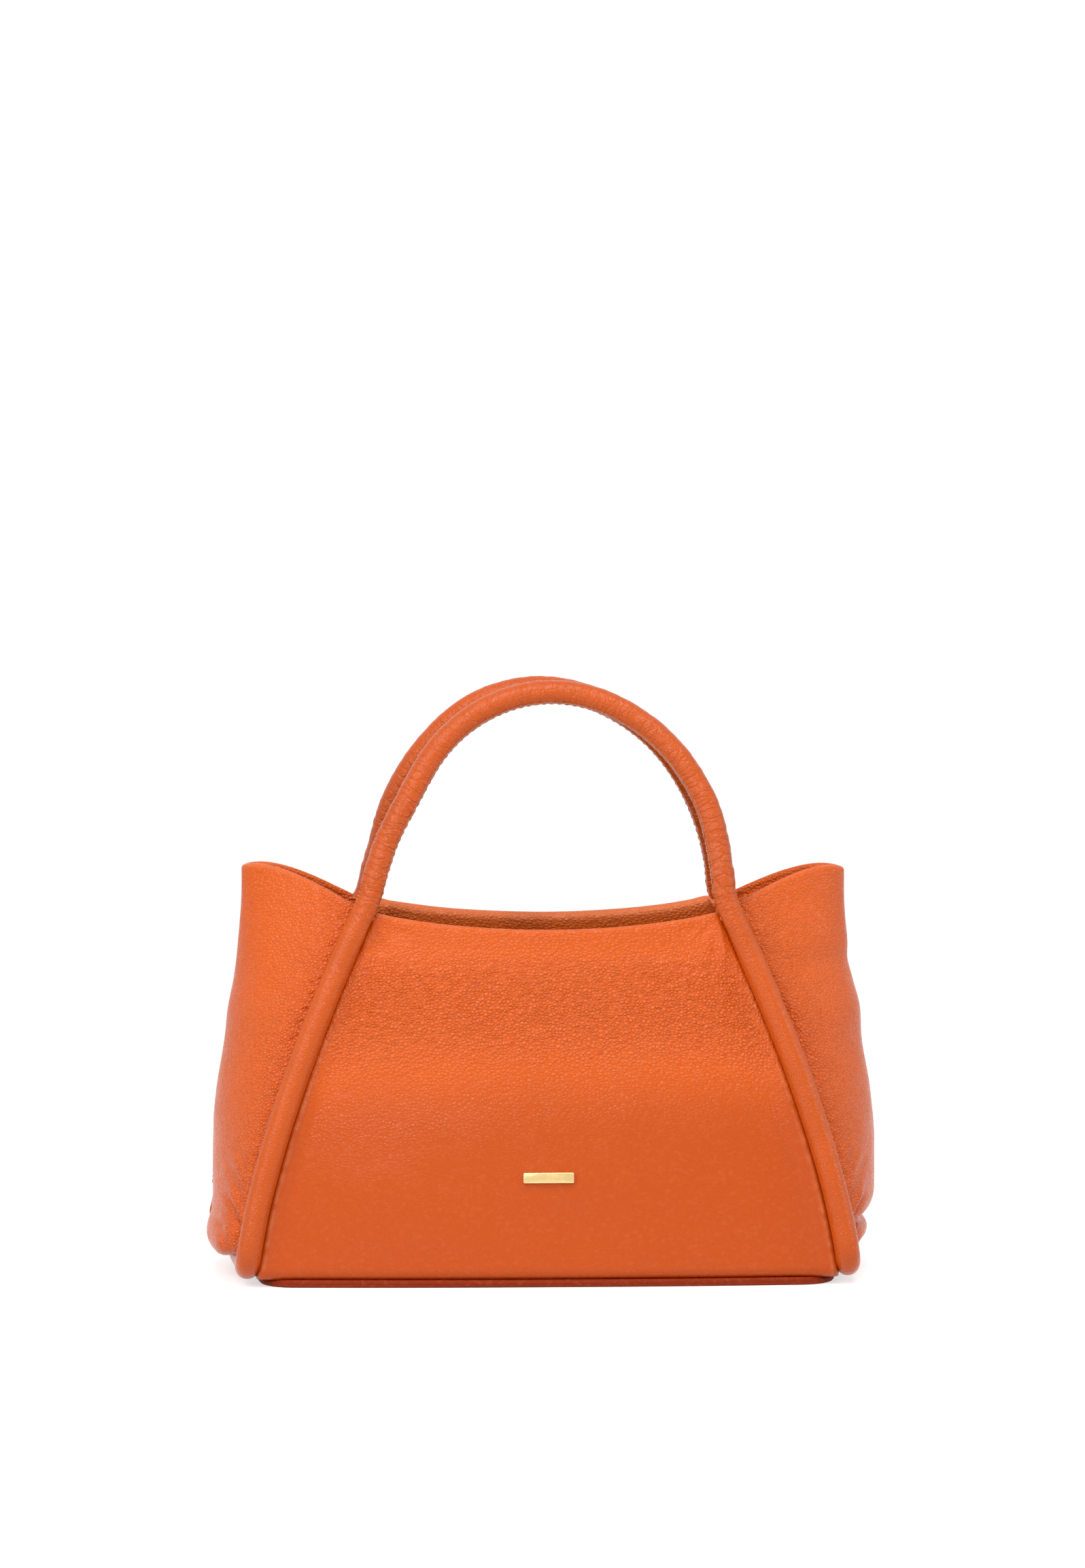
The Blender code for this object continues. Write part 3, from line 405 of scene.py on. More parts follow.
def outward(piece):
    """Turns all faces of a closed piece outwards."""
    select_only(piece)
    bpy.ops.object.mode_set(mode="EDIT")
    bpy.ops.mesh.select_all(action="SELECT")
    bpy.ops.mesh.normals_make_consistent(inside=False)
    bpy.ops.object.mode_set(mode="OBJECT")


def set_smooth(piece):
    """Shades the whole piece smooth."""
    piece.data.polygons.foreach_set("use_smooth", [True] * len(piece.data.polygons))
    piece.data.update()


def mark(piece, name, values):
    """Stores one number at each point for the materials to read."""
    layer = piece.data.attributes.get(name) or piece.data.attributes.new(name, "FLOAT", "POINT")
    layer.data.foreach_set("value", np.asarray(values, dtype=np.float32))


def sheet_piece(name, columns, rows, place):
    """A grid whose points lie where place says for their shares across and up, from 0 to 1."""
    bpy.ops.object.select_all(action="DESELECT")
    bpy.ops.mesh.primitive_grid_add(x_subdivisions=columns, y_subdivisions=rows, size=2.0, location=(0, 0, 0))
    piece = added(name)
    flat = points_of(piece)
    set_points(piece, place(0.5 + 0.5 * flat[:, 0], 0.5 + 0.5 * flat[:, 1]))
    set_smooth(piece)
    return piece


def pattern_of(piece):
    """The piece's UV map as an array."""
    layer = piece.data.uv_layers.active.data
    flat = np.empty(len(layer) * 2)
    layer.foreach_get("uv", flat)
    return flat.reshape(-1, 2)


def set_pattern(piece, pattern):
    """Changes the piece's UV map."""
    piece.data.uv_layers.active.data.foreach_set("uv", pattern.ravel())


def scale_pattern(piece, across, up):
    """Stretches the piece's UV map to its real size in metres."""
    set_pattern(piece, pattern_of(piece) * np.array((across, up)))


def apply_modifier(piece, kind, **settings):
    """Adds a modifier with these settings and applies it."""
    select_only(piece)
    modifier = piece.modifiers.new(kind.lower(), kind)
    for key, value in settings.items():
        setattr(modifier, key, value)
    bpy.ops.object.modifier_apply(modifier=modifier.name)


def thicken(piece, thickness):
    """Gives a sheet its thickness, away from the side that its faces look to."""
    apply_modifier(piece, "SOLIDIFY", thickness=thickness, offset=-1.0)


def settle(piece, matrix):
    """Puts a piece that was shaped flat at its place on the bag, with the place in its mesh."""
    piece.data.transform(matrix)
    piece.data.update()


def dress(piece, finish, body="root", nodes=()):
    """Gives the piece its material, body and the solids that it stands for."""
    piece.data.materials.clear()
    piece.data.materials.append(finish_named(finish))
    if body is not None:
        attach(piece, body)
    if nodes:
        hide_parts(*nodes)


def smooth_along(values, reach, closed):
    """Averages rows of an array with their neighbours, to round off a kink."""
    total = np.array(values, dtype=float)
    for step in range(1, reach + 1):
        if closed:
            total += np.roll(values, step, axis=0) + np.roll(values, -step, axis=0)
        else:
            ahead = np.concatenate([values[step:], np.repeat(values[-1:], step, axis=0)])
            behind = np.concatenate([np.repeat(values[:1], step, axis=0), values[:-step]])
            total += ahead + behind
    return total / (2.0 * reach + 1.0)


# Materials

def node(tree, kind, inputs=None, **settings):
    """Adds a shader node, sets its options and links or sets its inputs."""
    item = tree.nodes.new(kind)
    for key, value in settings.items():
        setattr(item, key, value)
    for key, value in (inputs or {}).items():
        if isinstance(value, bpy.types.NodeSocket):
            tree.links.new(value, item.inputs[key])
        else:
            item.inputs[key].default_value = value
    return item


def maths(tree, operation, first, second=0.0, clamp=False):
    """One step of arithmetic."""
    inputs = {0: first, 1: second}
    return node(tree, "ShaderNodeMath", inputs, operation=operation, use_clamp=clamp).outputs[0]


def times(tree, first, second, clamp=False):
    """A product."""
    return maths(tree, "MULTIPLY", first, second, clamp)


def vector_maths(tree, operation, inputs):
    """One step of arithmetic on vectors."""
    return node(tree, "ShaderNodeVectorMath", inputs, operation=operation).outputs[0]


def soft_noise(tree, vector, scale, detail):
    """Cloudy noise from 0 to 1."""
    return node(tree, "ShaderNodeTexNoise", {"Vector": vector, "Scale": scale, "Detail": detail}).outputs[0]


def cell_pattern(tree, vector, density, looseness, **settings):
    """Irregular cells, as the outputs of their node."""
    inputs = {"Vector": vector, "Scale": density, "Randomness": looseness}
    return node(tree, "ShaderNodeTexVoronoi", inputs, **settings).outputs


def fused(tree, value, factor, addend):
    """A value times a factor, with another value added."""
    return node(tree, "ShaderNodeMath", {0: value, 1: factor, 2: addend}, operation="MULTIPLY_ADD").outputs[0]


def ramp(tree, value, low, high, out_low=0.0, out_high=1.0):
    """Maps a value from one range to another, held at the ends."""
    inputs = {"Value": value, "From Min": low, "From Max": high, "To Min": out_low, "To Max": out_high}
    return node(tree, "ShaderNodeMapRange", inputs, interpolation_type="SMOOTHSTEP").outputs[0]


def mix_colour(tree, part, first, second):
    """A colour between two others."""
    return node(tree, "ShaderNodeMix", {0: part, 6: first, 7: second}, data_type="RGBA").outputs[2]


def new_group(name, ins, outs):
    """A node group with these number inputs and outputs."""
    tree = bpy.data.node_groups.new(name, "ShaderNodeTree")
    for key, default in ins:
        kind = "NodeSocketVector" if default is None else "NodeSocketFloat"
        item = tree.interface.new_socket(key, in_out="INPUT", socket_type=kind)
        if default is not None:
            item.default_value = default
    for key in outs:
        tree.interface.new_socket(key, in_out="OUTPUT", socket_type="NodeSocketFloat")
    return tree, tree.nodes.new("NodeGroupInput").outputs, tree.nodes.new("NodeGroupOutput").inputs


def pebble_group():
    """Pebbled leather grain: cells wider than they are tall, with fine pores and gathered folds."""
    tree, ins, outs = new_group("pebble_grain", [("Vector", None), ("Spacing", 0.0019), ("Squash", 1.35)],
                                ["Height", "Groove", "Fleck", "Fold"])
    density = maths(tree, "DIVIDE", 1.0, ins["Spacing"])
    wander = node(tree, "ShaderNodeTexNoise", {"Vector": ins["Vector"], "Scale": 170.0, "Detail": 2.0})
    shift = vector_maths(tree, "SUBTRACT", {0: wander.outputs["Color"], 1: (0.5, 0.5, 0.5)})
    shift = vector_maths(tree, "SCALE", {0: shift, "Scale": 0.0014})
    split = node(tree, "ShaderNodeSeparateXYZ", {0: vector_maths(tree, "ADD", {0: ins["Vector"], 1: shift})})
    tall = times(tree, split.outputs[2], ins["Squash"])
    moved = node(tree, "ShaderNodeCombineXYZ", {0: split.outputs[0], 1: split.outputs[1], 2: tall}).outputs[0]
    cells = cell_pattern(tree, moved, density, 0.9, feature="DISTANCE_TO_EDGE")["Distance"]
    tops = cell_pattern(tree, moved, density, 0.9)
    dome = ramp(tree, tops["Distance"], 0.05, 0.72, 1.0, 0.0)
    height = fused(tree, dome, 0.75, times(tree, ramp(tree, cells, 0.0, 0.22), 0.25))
    height = fused(tree, soft_noise(tree, moved, 900.0, 1.0), 0.07, height)
    lying = node(tree, "ShaderNodeMapping", {"Vector": ins["Vector"], "Scale": (150.0, 150.0, 430.0)})
    tree.links.new(height, outs["Height"])
    tree.links.new(ramp(tree, cells, 0.0, 0.13, 1.0, 0.0), outs["Groove"])
    tree.links.new(tops["Color"], outs["Fleck"])
    tree.links.new(soft_noise(tree, lying.outputs[0], 1.0, 2.0), outs["Fold"])
    return tree


def crease_group():
    """Fine creases across a rolled tube, read from a pattern in metres, with dark lines painted in them as
    shade.
    """
    tree, ins, outs = new_group("cross_creases", [("Vector", None), ("Spacing", 0.0032)], ["Height", "Line"])
    density = maths(tree, "DIVIDE", 1.0, ins["Spacing"])
    split = node(tree, "ShaderNodeSeparateXYZ", {0: ins["Vector"]})
    bend = times(tree, maths(tree, "SUBTRACT", soft_noise(tree, ins["Vector"], 120.0, 1.0), 0.5), 0.006)
    around = times(tree, split.outputs[0], 0.22)
    along = maths(tree, "ADD", split.outputs[1], bend)
    stretched = node(tree, "ShaderNodeCombineXYZ", {0: around, 1: along, 2: 0.0}).outputs[0]
    cells = cell_pattern(tree, stretched, density, 1.0, voronoi_dimensions="2D",
                         feature="DISTANCE_TO_EDGE")["Distance"]
    soft = soft_noise(tree, stretched, 260.0, 3.0)
    tree.links.new(fused(tree, ramp(tree, cells, 0.0, 0.16), 0.7, times(tree, soft, 0.5)), outs["Height"])
    # Dark lines in the creases: painted shade
    line = ramp(tree, cells, 0.0, 0.07, 1.0, 0.0)
    tree.links.new(times(tree, line, ramp(tree, soft, 0.45, 0.62)), outs["Line"])
    return tree


def tone_group():
    """Slow changes of tone and gloss over a surface."""
    tree, ins, outs = new_group("slow_tone", [("Vector", None), ("Patch", 0.045)], ["Tone", "Gloss"])
    density = maths(tree, "DIVIDE", 1.0, ins["Patch"])
    wide = soft_noise(tree, ins["Vector"], density, 3.0)
    small = soft_noise(tree, ins["Vector"], times(tree, density, 6.0), 4.0)
    tree.links.new(ramp(tree, wide, 0.3, 0.7), outs["Tone"])
    tree.links.new(ramp(tree, small, 0.3, 0.7), outs["Gloss"])
    return tree


def weave_group():
    """Plain weave: threads over and under each other, with a slight slub."""
    tree, ins, outs = new_group("plain_weave", [("Vector", None), ("Spacing", 0.0009)], ["Height", "Slub"])
    split = node(tree, "ShaderNodeSeparateXYZ", {0: ins["Vector"]})
    turns = maths(tree, "DIVIDE", math.pi, ins["Spacing"])
    across = maths(tree, "SINE", times(tree, split.outputs[0], turns))
    up = maths(tree, "SINE", times(tree, split.outputs[1], turns))
    over = times(tree, across, up)
    ridge = maths(tree, "ABSOLUTE", over)
    tree.links.new(fused(tree, over, 0.3, times(tree, ridge, 0.7)), outs["Height"])
    tree.links.new(ramp(tree, soft_noise(tree, ins["Vector"], 340.0, 3.0), 0.35, 0.65), outs["Slub"])
    return tree


def brushed_group():
    """Fine scratches and smudges on metal."""
    tree, ins, outs = new_group("brushed_metal", [("Vector", None)], ["Height", "Smudge"])
    long_way = node(tree, "ShaderNodeMapping", {"Vector": ins["Vector"], "Scale": (60.0, 900.0, 2600.0)})
    tree.links.new(soft_noise(tree, long_way.outputs[0], 1.0, 3.0), outs["Height"])
    tree.links.new(ramp(tree, soft_noise(tree, ins["Vector"], 130.0, 3.0), 0.35, 0.65), outs["Smudge"])
    return tree


GROUP_MAKERS = {"pebble_grain": pebble_group, "cross_creases": crease_group, "slow_tone": tone_group,
                "plain_weave": weave_group, "brushed_metal": brushed_group}


def effect(tree, name, inputs):
    """Places a node group in a material, and makes it the first time."""
    group = bpy.data.node_groups.get(name) or GROUP_MAKERS[name]()
    return node(tree, "ShaderNodeGroup", inputs, node_tree=group).outputs


def new_material(name):
    """A material with an empty shader, its tree and the object's own coordinates."""
    material = bpy.data.materials.new(name)
    material.use_nodes = True
    tree = material.node_tree
    place = tree.nodes.new("ShaderNodeTexCoord").outputs
    return material, tree, tree.nodes["Principled BSDF"], place


def attribute(tree, name):
    """A number stored at the points of the piece."""
    return node(tree, "ShaderNodeAttribute", attribute_name=name, attribute_type="GEOMETRY").outputs["Fac"]


def toned(colour, factor):
    """The colour made lighter or darker by a factor."""
    return tuple(min(1.0, factor * part) for part in colour[:3]) + (1.0,)


def surface(tree, shader, base, rough, height, distance):
    """Links a material's colour, its roughness and its raised pattern."""
    tree.links.new(base, shader.inputs["Base Color"])
    tree.links.new(rough, shader.inputs["Roughness"])
    bump = node(tree, "ShaderNodeBump", {"Strength": 1.0, "Distance": distance, "Height": height})
    tree.links.new(bump.outputs[0], shader.inputs["Normal"])


def leather_material(name, colour_name, roughness, specular):
    """Pebbled leather whose grain is flattened where the piece is stretched and gathered near the seams,
    painted darker as shade where the grain is flat, and pale where rubbed edges or painted highlights are
    marked.
    """
    finish = bpy.context.scene.bag_finish
    leather = tuple(getattr(finish, colour_name))
    material, tree, shader, place = new_material(name)
    grain = effect(tree, "pebble_grain", {"Vector": place["Object"], "Spacing": finish.grain_size})
    tone = effect(tree, "slow_tone", {"Vector": place["Object"]})
    depth = attribute(tree, "grain")
    groove = times(tree, grain["Groove"], times(tree, depth, 0.75), clamp=True)
    base = mix_colour(tree, groove, leather, tuple(finish.groove_and_crease_shade_colour))
    base = mix_colour(tree, times(tree, tone["Tone"], 0.45), base, toned(leather, 0.86))
    # Painted shade: the colour darker and deeper where the grain is flat, which is most low on the long walls
    painted_low_shade = tuple(part * factor for part, factor in zip(leather, (0.74, 0.67, 0.60, 1.0)))
    base = mix_colour(tree, ramp(tree, depth, 0.15, 0.90, 1.0, 0.0), base, painted_low_shade)
    speck = ramp(tree, grain["Fleck"], 0.55, 0.95, 0.0, 0.05)
    base = mix_colour(tree, speck, base, tuple(finish.pale_edge_and_highlight_colour))
    # Pale where marked: rubbed and cut edges, and painted highlights along the long walls' rims and beside
    # the tubes
    base = mix_colour(tree, times(tree, attribute(tree, "wear"), 0.85), base, tuple(finish.pale_edge_and_highlight_colour))
    rough = fused(tree, tone["Gloss"], 0.10, fused(tree, groove, 0.12, roughness))
    gathered = times(tree, ramp(tree, depth, 0.6, 1.7, 0.0, 2.4), grain["Fold"])
    surface(tree, shader, base, rough, fused(tree, grain["Height"], depth, gathered), finish.grain_depth)
    shader.inputs["Specular IOR Level"].default_value = specular
    return material


def tube_material():
    """Smooth leather of the rolled tubes, creased across where the tube bends, with painted shade in the
    creases.
    """
    finish = bpy.context.scene.bag_finish
    material, tree, shader, place = new_material("tube_leather")
    grain = effect(tree, "pebble_grain", {"Vector": place["Object"], "Spacing": 0.7 * finish.grain_size,
                                          "Squash": 1.0})
    creases = effect(tree, "cross_creases", {"Vector": place["UV"]})
    tone = effect(tree, "slow_tone", {"Vector": place["Object"], "Patch": 0.02})
    amount = attribute(tree, "crease")
    # Painted shade: dark lines in the creases, and the tube darker where it is most creased, on the handles
    # and round the rim
    line = times(tree, creases["Line"], amount, clamp=True)
    base = mix_colour(tree, times(tree, line, 0.85), tuple(finish.tube_colour), tuple(finish.groove_and_crease_shade_colour))
    shade = fused(tree, tone["Tone"], 0.4, times(tree, amount, 0.6))
    base = mix_colour(tree, shade, base, toned(finish.tube_colour, 0.85))
    base = mix_colour(tree, attribute(tree, "wear"), base, tuple(finish.pale_edge_and_highlight_colour))
    height = fused(tree, grain["Height"], 0.35, times(tree, creases["Height"], amount))
    surface(tree, shader, base, fused(tree, tone["Gloss"], 0.10, 0.21), height, 0.38 * MM)
    shader.inputs["Specular IOR Level"].default_value = 0.28
    return material


def cloth_material(name, colour_name, spacing):
    """Woven cloth, with the weave on the piece's own pattern."""
    base_colour = tuple(getattr(bpy.context.scene.bag_finish, colour_name))
    material, tree, shader, place = new_material(name)
    weave = effect(tree, "plain_weave", {"Vector": place["UV"], "Spacing": spacing})
    tone = effect(tree, "slow_tone", {"Vector": place["Object"]})
    dark = toned(base_colour, 0.62)
    base = mix_colour(tree, weave["Height"], dark, base_colour)
    base = mix_colour(tree, times(tree, weave["Slub"], 0.35), base, toned(base_colour, 1.18))
    base = mix_colour(tree, times(tree, tone["Tone"], 0.25), base, dark)
    rough = ramp(tree, tone["Gloss"], 0.0, 1.0, 0.78, 0.9)
    surface(tree, shader, base, rough, weave["Height"], 0.25 * spacing)
    shader.inputs["Sheen Weight"].default_value = 0.25
    return material


def metal_material(name, colour_name, rough_low, rough_high):
    """Plated metal with fine scratches."""
    base_colour = tuple(getattr(bpy.context.scene.bag_finish, colour_name))
    material, tree, shader, place = new_material(name)
    brushed = effect(tree, "brushed_metal", {"Vector": place["Object"]})
    base = mix_colour(tree, brushed["Smudge"], base_colour, toned(base_colour, 0.82))
    rough = ramp(tree, brushed["Smudge"], 0.0, 1.0, rough_low, rough_high)
    surface(tree, shader, base, rough, brushed["Height"], 0.02 * MM)
    shader.inputs["Metallic"].default_value = 1.0
    return material


def plain_material(name, colour_name, patch, rough_low, rough_high):
    """A dull material with slow changes of tone, such as thread or board."""
    base_colour = tuple(getattr(bpy.context.scene.bag_finish, colour_name))
    material, tree, shader, place = new_material(name)
    tone = effect(tree, "slow_tone", {"Vector": place["Object"], "Patch": patch})
    base = mix_colour(tree, tone["Tone"], base_colour, toned(base_colour, 0.7))
    rough = ramp(tree, tone["Gloss"], 0.0, 1.0, rough_low, rough_high)
    surface(tree, shader, base, rough, tone["Gloss"], 0.05 * MM)
    return material


MATERIAL_MAKERS = {
    "pebbled_leather": lambda name: leather_material(name, "leather_colour", 0.23, 0.25),
    # A darker copy of the leather, painted as shade under the bag
    "base_leather": lambda name: leather_material(name, "base_colour", 0.50, 0.12),
    "tube_leather": lambda name: tube_material(),
    "lining_cloth": lambda name: cloth_material(name, "lining_colour",
                                                bpy.context.scene.bag_finish.weave_size),
    "zip_tape_cloth": lambda name: cloth_material(name, "tape_colour", 0.5 * MM),
    "gold_plating": lambda name: metal_material(name, "gold_colour", 0.18, 0.34),
    "steel_plating": lambda name: metal_material(name, "steel_colour", 0.3, 0.45),
    "sewing_thread": lambda name: plain_material(name, "thread_colour", 0.004, 0.45, 0.65),
    "base_board": lambda name: plain_material(name, "board_colour", 0.01, 0.6, 0.8),
}


def finish_named(name):
    """The material of this name, made the first time."""
    return bpy.data.materials.get(name) or MATERIAL_MAKERS[name](name)


# Walls

def wall_frame(wall, across, z):
    """The outward direction and the upward direction along a wall."""
    along = wall(across + 0.002, z) - wall(across - 0.002, z)
    rise = unit(wall(across, z + 0.4 * MM) - wall(across, z - 0.4 * MM))
    return unit(np.cross(along, rise)), rise


def hemmed_wall(name, functions, grid, roll):
    """A wall of leather whose upper edge is rolled over and goes down inside."""
    wall, rim, bottom, relief = functions
    columns, rows = grid
    body = bpy.context.scene.bag_body
    body_part = rows / (rows + HEM_ROWS)
    roll_part = 0.45

    def place(across, up):
        z = between(bottom(across), rim(across) - roll, np.clip(up / body_part, 0.0, 1.0))
        outwards, rise = wall_frame(wall, across, z)
        points = wall(across, z)
        points = points + outwards * relief(across, z, points)[:, None]
        over = np.clip((up - body_part) / (1.0 - body_part), 0.0, 1.0)
        turn = math.pi * np.clip(over / roll_part, 0.0, 1.0)[:, None]
        drop = body.rim_hem * np.clip((over - roll_part) / (1.0 - roll_part), 0.0, 1.0)[:, None]
        return points + roll * ((np.cos(turn) - 1.0) * outwards + np.sin(turn) * rise) - drop * rise

    return sheet_piece(name, columns, rows + HEM_ROWS, place)


def mark_leather(piece, grain, wear):
    """Stores how deep the grain is, which also sets the painted shade, and where the leather is rubbed or
    painted with highlights, at each point.
    """
    mark(piece, "grain", grain)
    mark(piece, "wear", wear)


def crease_relief(distance, z, start, end, depth, width):
    """A sunk crease with a fold beside it, between two places given by distance from the seam and height.

    The places, the depth and the width are in millimetres.
    """
    line = np.array(end) - np.array(start)
    span = np.linalg.norm(line)
    line = line / span
    offset = np.stack([distance, z], axis=-1) / MM - np.array(start)
    along = offset @ line
    bowed = 0.10 * span * np.sin(math.pi * np.clip(along / span, 0.0, 1.0))
    beside = offset @ np.array((-line[1], line[0])) - bowed
    ends = smooth_share(along / (0.25 * span)) * smooth_share((span - along) / (0.35 * span))
    valley = -np.exp(-(beside / width) ** 2)
    fold = 0.75 * np.exp(-((beside - 1.9 * width) / (1.3 * width)) ** 2)
    return depth * MM * ends * (valley + fold)


def long_wall_functions(shape, face):
    """The outside of a long wall, its rim, its lower edge and its relief.

    The relief tucks the edges in at the tubes and the base, keeps the middle smooth round the bar, and lets
    folds run out from the upper corners.
    """
    body = shape.body
    tuck = shape.tube.radius - 1.4 * MM  # how far from its seam the wall ends, just inside the tube
    low = body.base_thickness + 0.2 * MM

    def half_width(z):
        aside = 2.4 * MM * eased(z, 148.0, 24.0) * (face > 0.0)
        return shape.seam_half_width(z) - tuck + aside

    def wall(across, z):
        return shape.long_wall((2.0 * across - 1.0) * -face, z, half_width(z), face)

    def rim(across):
        part = (2.0 * across - 1.0) * half_width(body.rim_centre_height) / body.rim_half_width
        return shape.long_rim(part) + (body.back_rim_lift if face > 0.0 else 0.0)

    def relief(across, z, points):
        aside = half_width(z) - np.abs(points[:, 0])
        above = z - low
        below = rim(across) - z
        edge = -3.2 * MM * fade(aside, 2.6)
        shoulder = 1.7 * MM * bell(aside, 4.0, 4.5)
        turned = -2.4 * MM * fade(above, 5.0)
        calm = eased(aside, 0.0, 25.0) * eased(above, 0.0, 20.0)
        bar = ((z - 52.0 * MM) / (14.0 * MM)) ** 2 + (points[:, 0] / (30.0 * MM)) ** 2
        calm = calm * (1.0 - np.exp(-bar))
        wide = noise_at(points, 70.0 * MM, 1.0 + face) * 1.0 * MM
        wide = wide + noise_at(points, 26.0 * MM, 4.0 + face) * 0.35 * MM
        slump = -0.9 * MM * bell(below, 16.0, 14.0) * eased(aside, 0.0, 40.0)
        corner = np.hypot(aside, below)
        turn = np.arctan2(below, aside)
        rays = noise_at(stack(5.5 * turn, 55.0 * corner, np.sign(points[:, 0])), 1.0, 9.0 + face)
        rays = rays * 1.3 * MM * bell(corner, 15.0, 9.0) * smooth_share(turn / 0.35)
        folds = crease_relief(aside, below, (5.0, 3.0), (20.0, 26.0), 0.5, 2.2)
        return edge + shoulder + turned + calm * wide + slump + rays + folds

    return wall, rim, lambda across: np.full_like(across, low), relief


# How far a side wall swells out of its even curve, as amount, height and reach in millimetres
SIDE_SLUMPS = {-1.0: ((5.6, 17.0, 8.0), (1.2, 128.0, 12.0)),
               1.0: ((-5.0, 26.8, 4.0), (1.9, 128.0, 11.0), (-1.0, 151.0, 6.0))}
# The creases of a side wall, as start, end, depth and width in millimetres
SIDE_CREASES = (((3.0, 20.0), (30.0, 43.0), 1.5, 2.2), ((5.0, 30.0), (36.0, 61.0), 0.8, 3.2),
                ((6.0, 41.0), (26.0, 66.0), 0.5, 2.6), ((9.0, 17.0), (36.0, 29.0), 0.9, 2.0))


def side_wall_functions(shape, side):
    """The outside of a side wall, its rim, its lower edge and its relief.

    The relief is gathered along the seams, swells and sinks in between, and runs out where the wall meets
    a tube.
    """
    body = shape.body
    tube = shape.tube

    def place_of(across, z):
        rise = np.clip(z / body.seam_rim_height, 0.0, 1.0)
        lead_x = (shape.side_half_width(z) - shape.seam_half_width(z)) * between(0.60, 0.50, rise)
        lead_y = shape.seam_half_depth(z) * (1.0 - between(0.98, 0.78, rise))
        hidden = tube.radius - 3.4 * MM  # how far from its seam the wall starts, inside the tube
        start = hidden / (3.0 * np.hypot(lead_x, lead_y))
        return between(start, 2.0 - start, across if side > 0.0 else 1.0 - across)

    def wall(across, z):
        place = place_of(across, z)
        return shape.side_wall(place, z, shape.seam_half_width(z), shape.side_half_width(z), side)

    def rim(across):
        return shape.side_rim(2.0 * across) - (0.3 + side * 0.9) * MM * np.sin(math.pi * across) ** 2

    def bottom(across):
        z = np.full_like(across, body.swell_height)
        y = wall(across, z)[:, 1]
        return shape.base_tube_height(y) + body.side_seat - 0.6 * MM

    def relief(across, z, points):
        face = np.sign(points[:, 1])
        seam = np.stack([side * shape.seam_half_width(z), face * shape.seam_half_depth(z)], axis=-1)
        aside = np.linalg.norm(points[:, :2] - seam, axis=-1)
        below = rim(across) - z
        slant = stack(aside / (13.0 * MM), (z + 0.5 * aside) / (4.6 * MM), side + face)
        fine = noise_at(slant, 1.0, 21.0) * 1.15 * MM * np.exp(-aside / (10.0 * MM))
        slant = stack(aside / (26.0 * MM), (z - 0.3 * aside) / (13.0 * MM), 3.0 * side + face)
        gather = noise_at(slant, 1.0, 25.0) * 1.5 * MM * np.exp(-aside / (17.0 * MM))
        wide = noise_at(points, 55.0 * MM, 31.0 + side) * 1.3 * MM
        wide = wide + noise_at(points, 20.0 * MM, 37.0) * 0.35 * MM
        calm = eased(below, 0.0, 14.0) * eased(z, 13.0, 14.0)
        outer = eased(np.abs(points[:, 0]) - shape.seam_half_width(z), 4.0, 8.0)
        slump = sum(amount * MM * bell(z, height, reach) for amount, height, reach in SIDE_SLUMPS[side])
        if side > 0.0:
            slump = slump - 1.8 * MM * falling(z, 40.0, 11.0)
        low = z - shape.base_tube_height(0.0) - body.side_seat
        curl = -0.75 * (1.0 + side) * MM * fade(low, 4.0)
        creases = sum(crease_relief(aside, z, *crease) for crease in SIDE_CREASES)
        total = (wide + fine + gather) * calm + slump * outer + curl + creases
        pucker = 1.6 * MM * fade(aside - 5.0 * MM, 7.0) * eased(z, 16.0, 14.0)
        return (total - pucker) * eased(aside, 2.4, 4.6)

    return wall, rim, bottom, relief


class BAG_OT_long_walls(bpy.types.Operator):
    """Make the front and back walls"""
    bl_idname = "bag.long_walls"
    bl_label = "Long walls"

    def execute(self, context):
        shape = BodyShape()
        for name, face in FACES:
            functions = long_wall_functions(shape, face)
            roll = shape.body.rim_roll if face < 0.0 else shape.body.back_rim_roll
            piece = hemmed_wall(name + "_wall_leather", functions, LONG_WALL_GRID, roll)
            points = points_of(piece)
            z = points[:, 2]
            aside = shape.seam_half_width(z) - np.abs(points[:, 0])
            high = eased(z, 38.0, 102.0)
            near = falling(aside, 34.0, 34.0) * high
            stretched = eased(aside, 5.0, 10.0)
            # Flat low down, deepest in a band below the rim, calmer at the rim and close to the tubes; where
            # it is flat the colour is also painted darker, as shade low on the wall
            lit = 0.30 * bell(z, 128.0, 24.0)
            grain = 0.14 + 1.30 * high ** 2.2 - 0.75 * eased(z, 146.0, 15.0) + lit
            grain = grain * (0.45 + 0.55 * stretched) + 0.25 * near
            rim = functions[1]
            above_rim = z - rim(0.5 + 0.5 * points[:, 0] / shape.seam_half_width(z))
            # Painted highlights: a pale band on the front rim's roll, partly a rubbed edge, a wider one
            # lighting the inside of the back rim, and a dashed line beside each tube
            edge = bell(above_rim, -2.6, 4.0) if face > 0.0 else bell(above_rim, 0.6, 0.8)
            highlight_dashes = np.clip(0.55 + noise_at(points, 3.4 * MM, 91.0), 0.0, 1.0)
            line = bell(aside, 8.0, 1.0) * falling(z, 160.0, 30.0)
            mark_leather(piece, grain, 0.35 * edge + 0.45 * line * highlight_dashes)
            thicken(piece, shape.body.leather)
            dress(piece, "pebbled_leather", nodes=(name + "_panel", name + "_stiffener"))
        return {"FINISHED"}


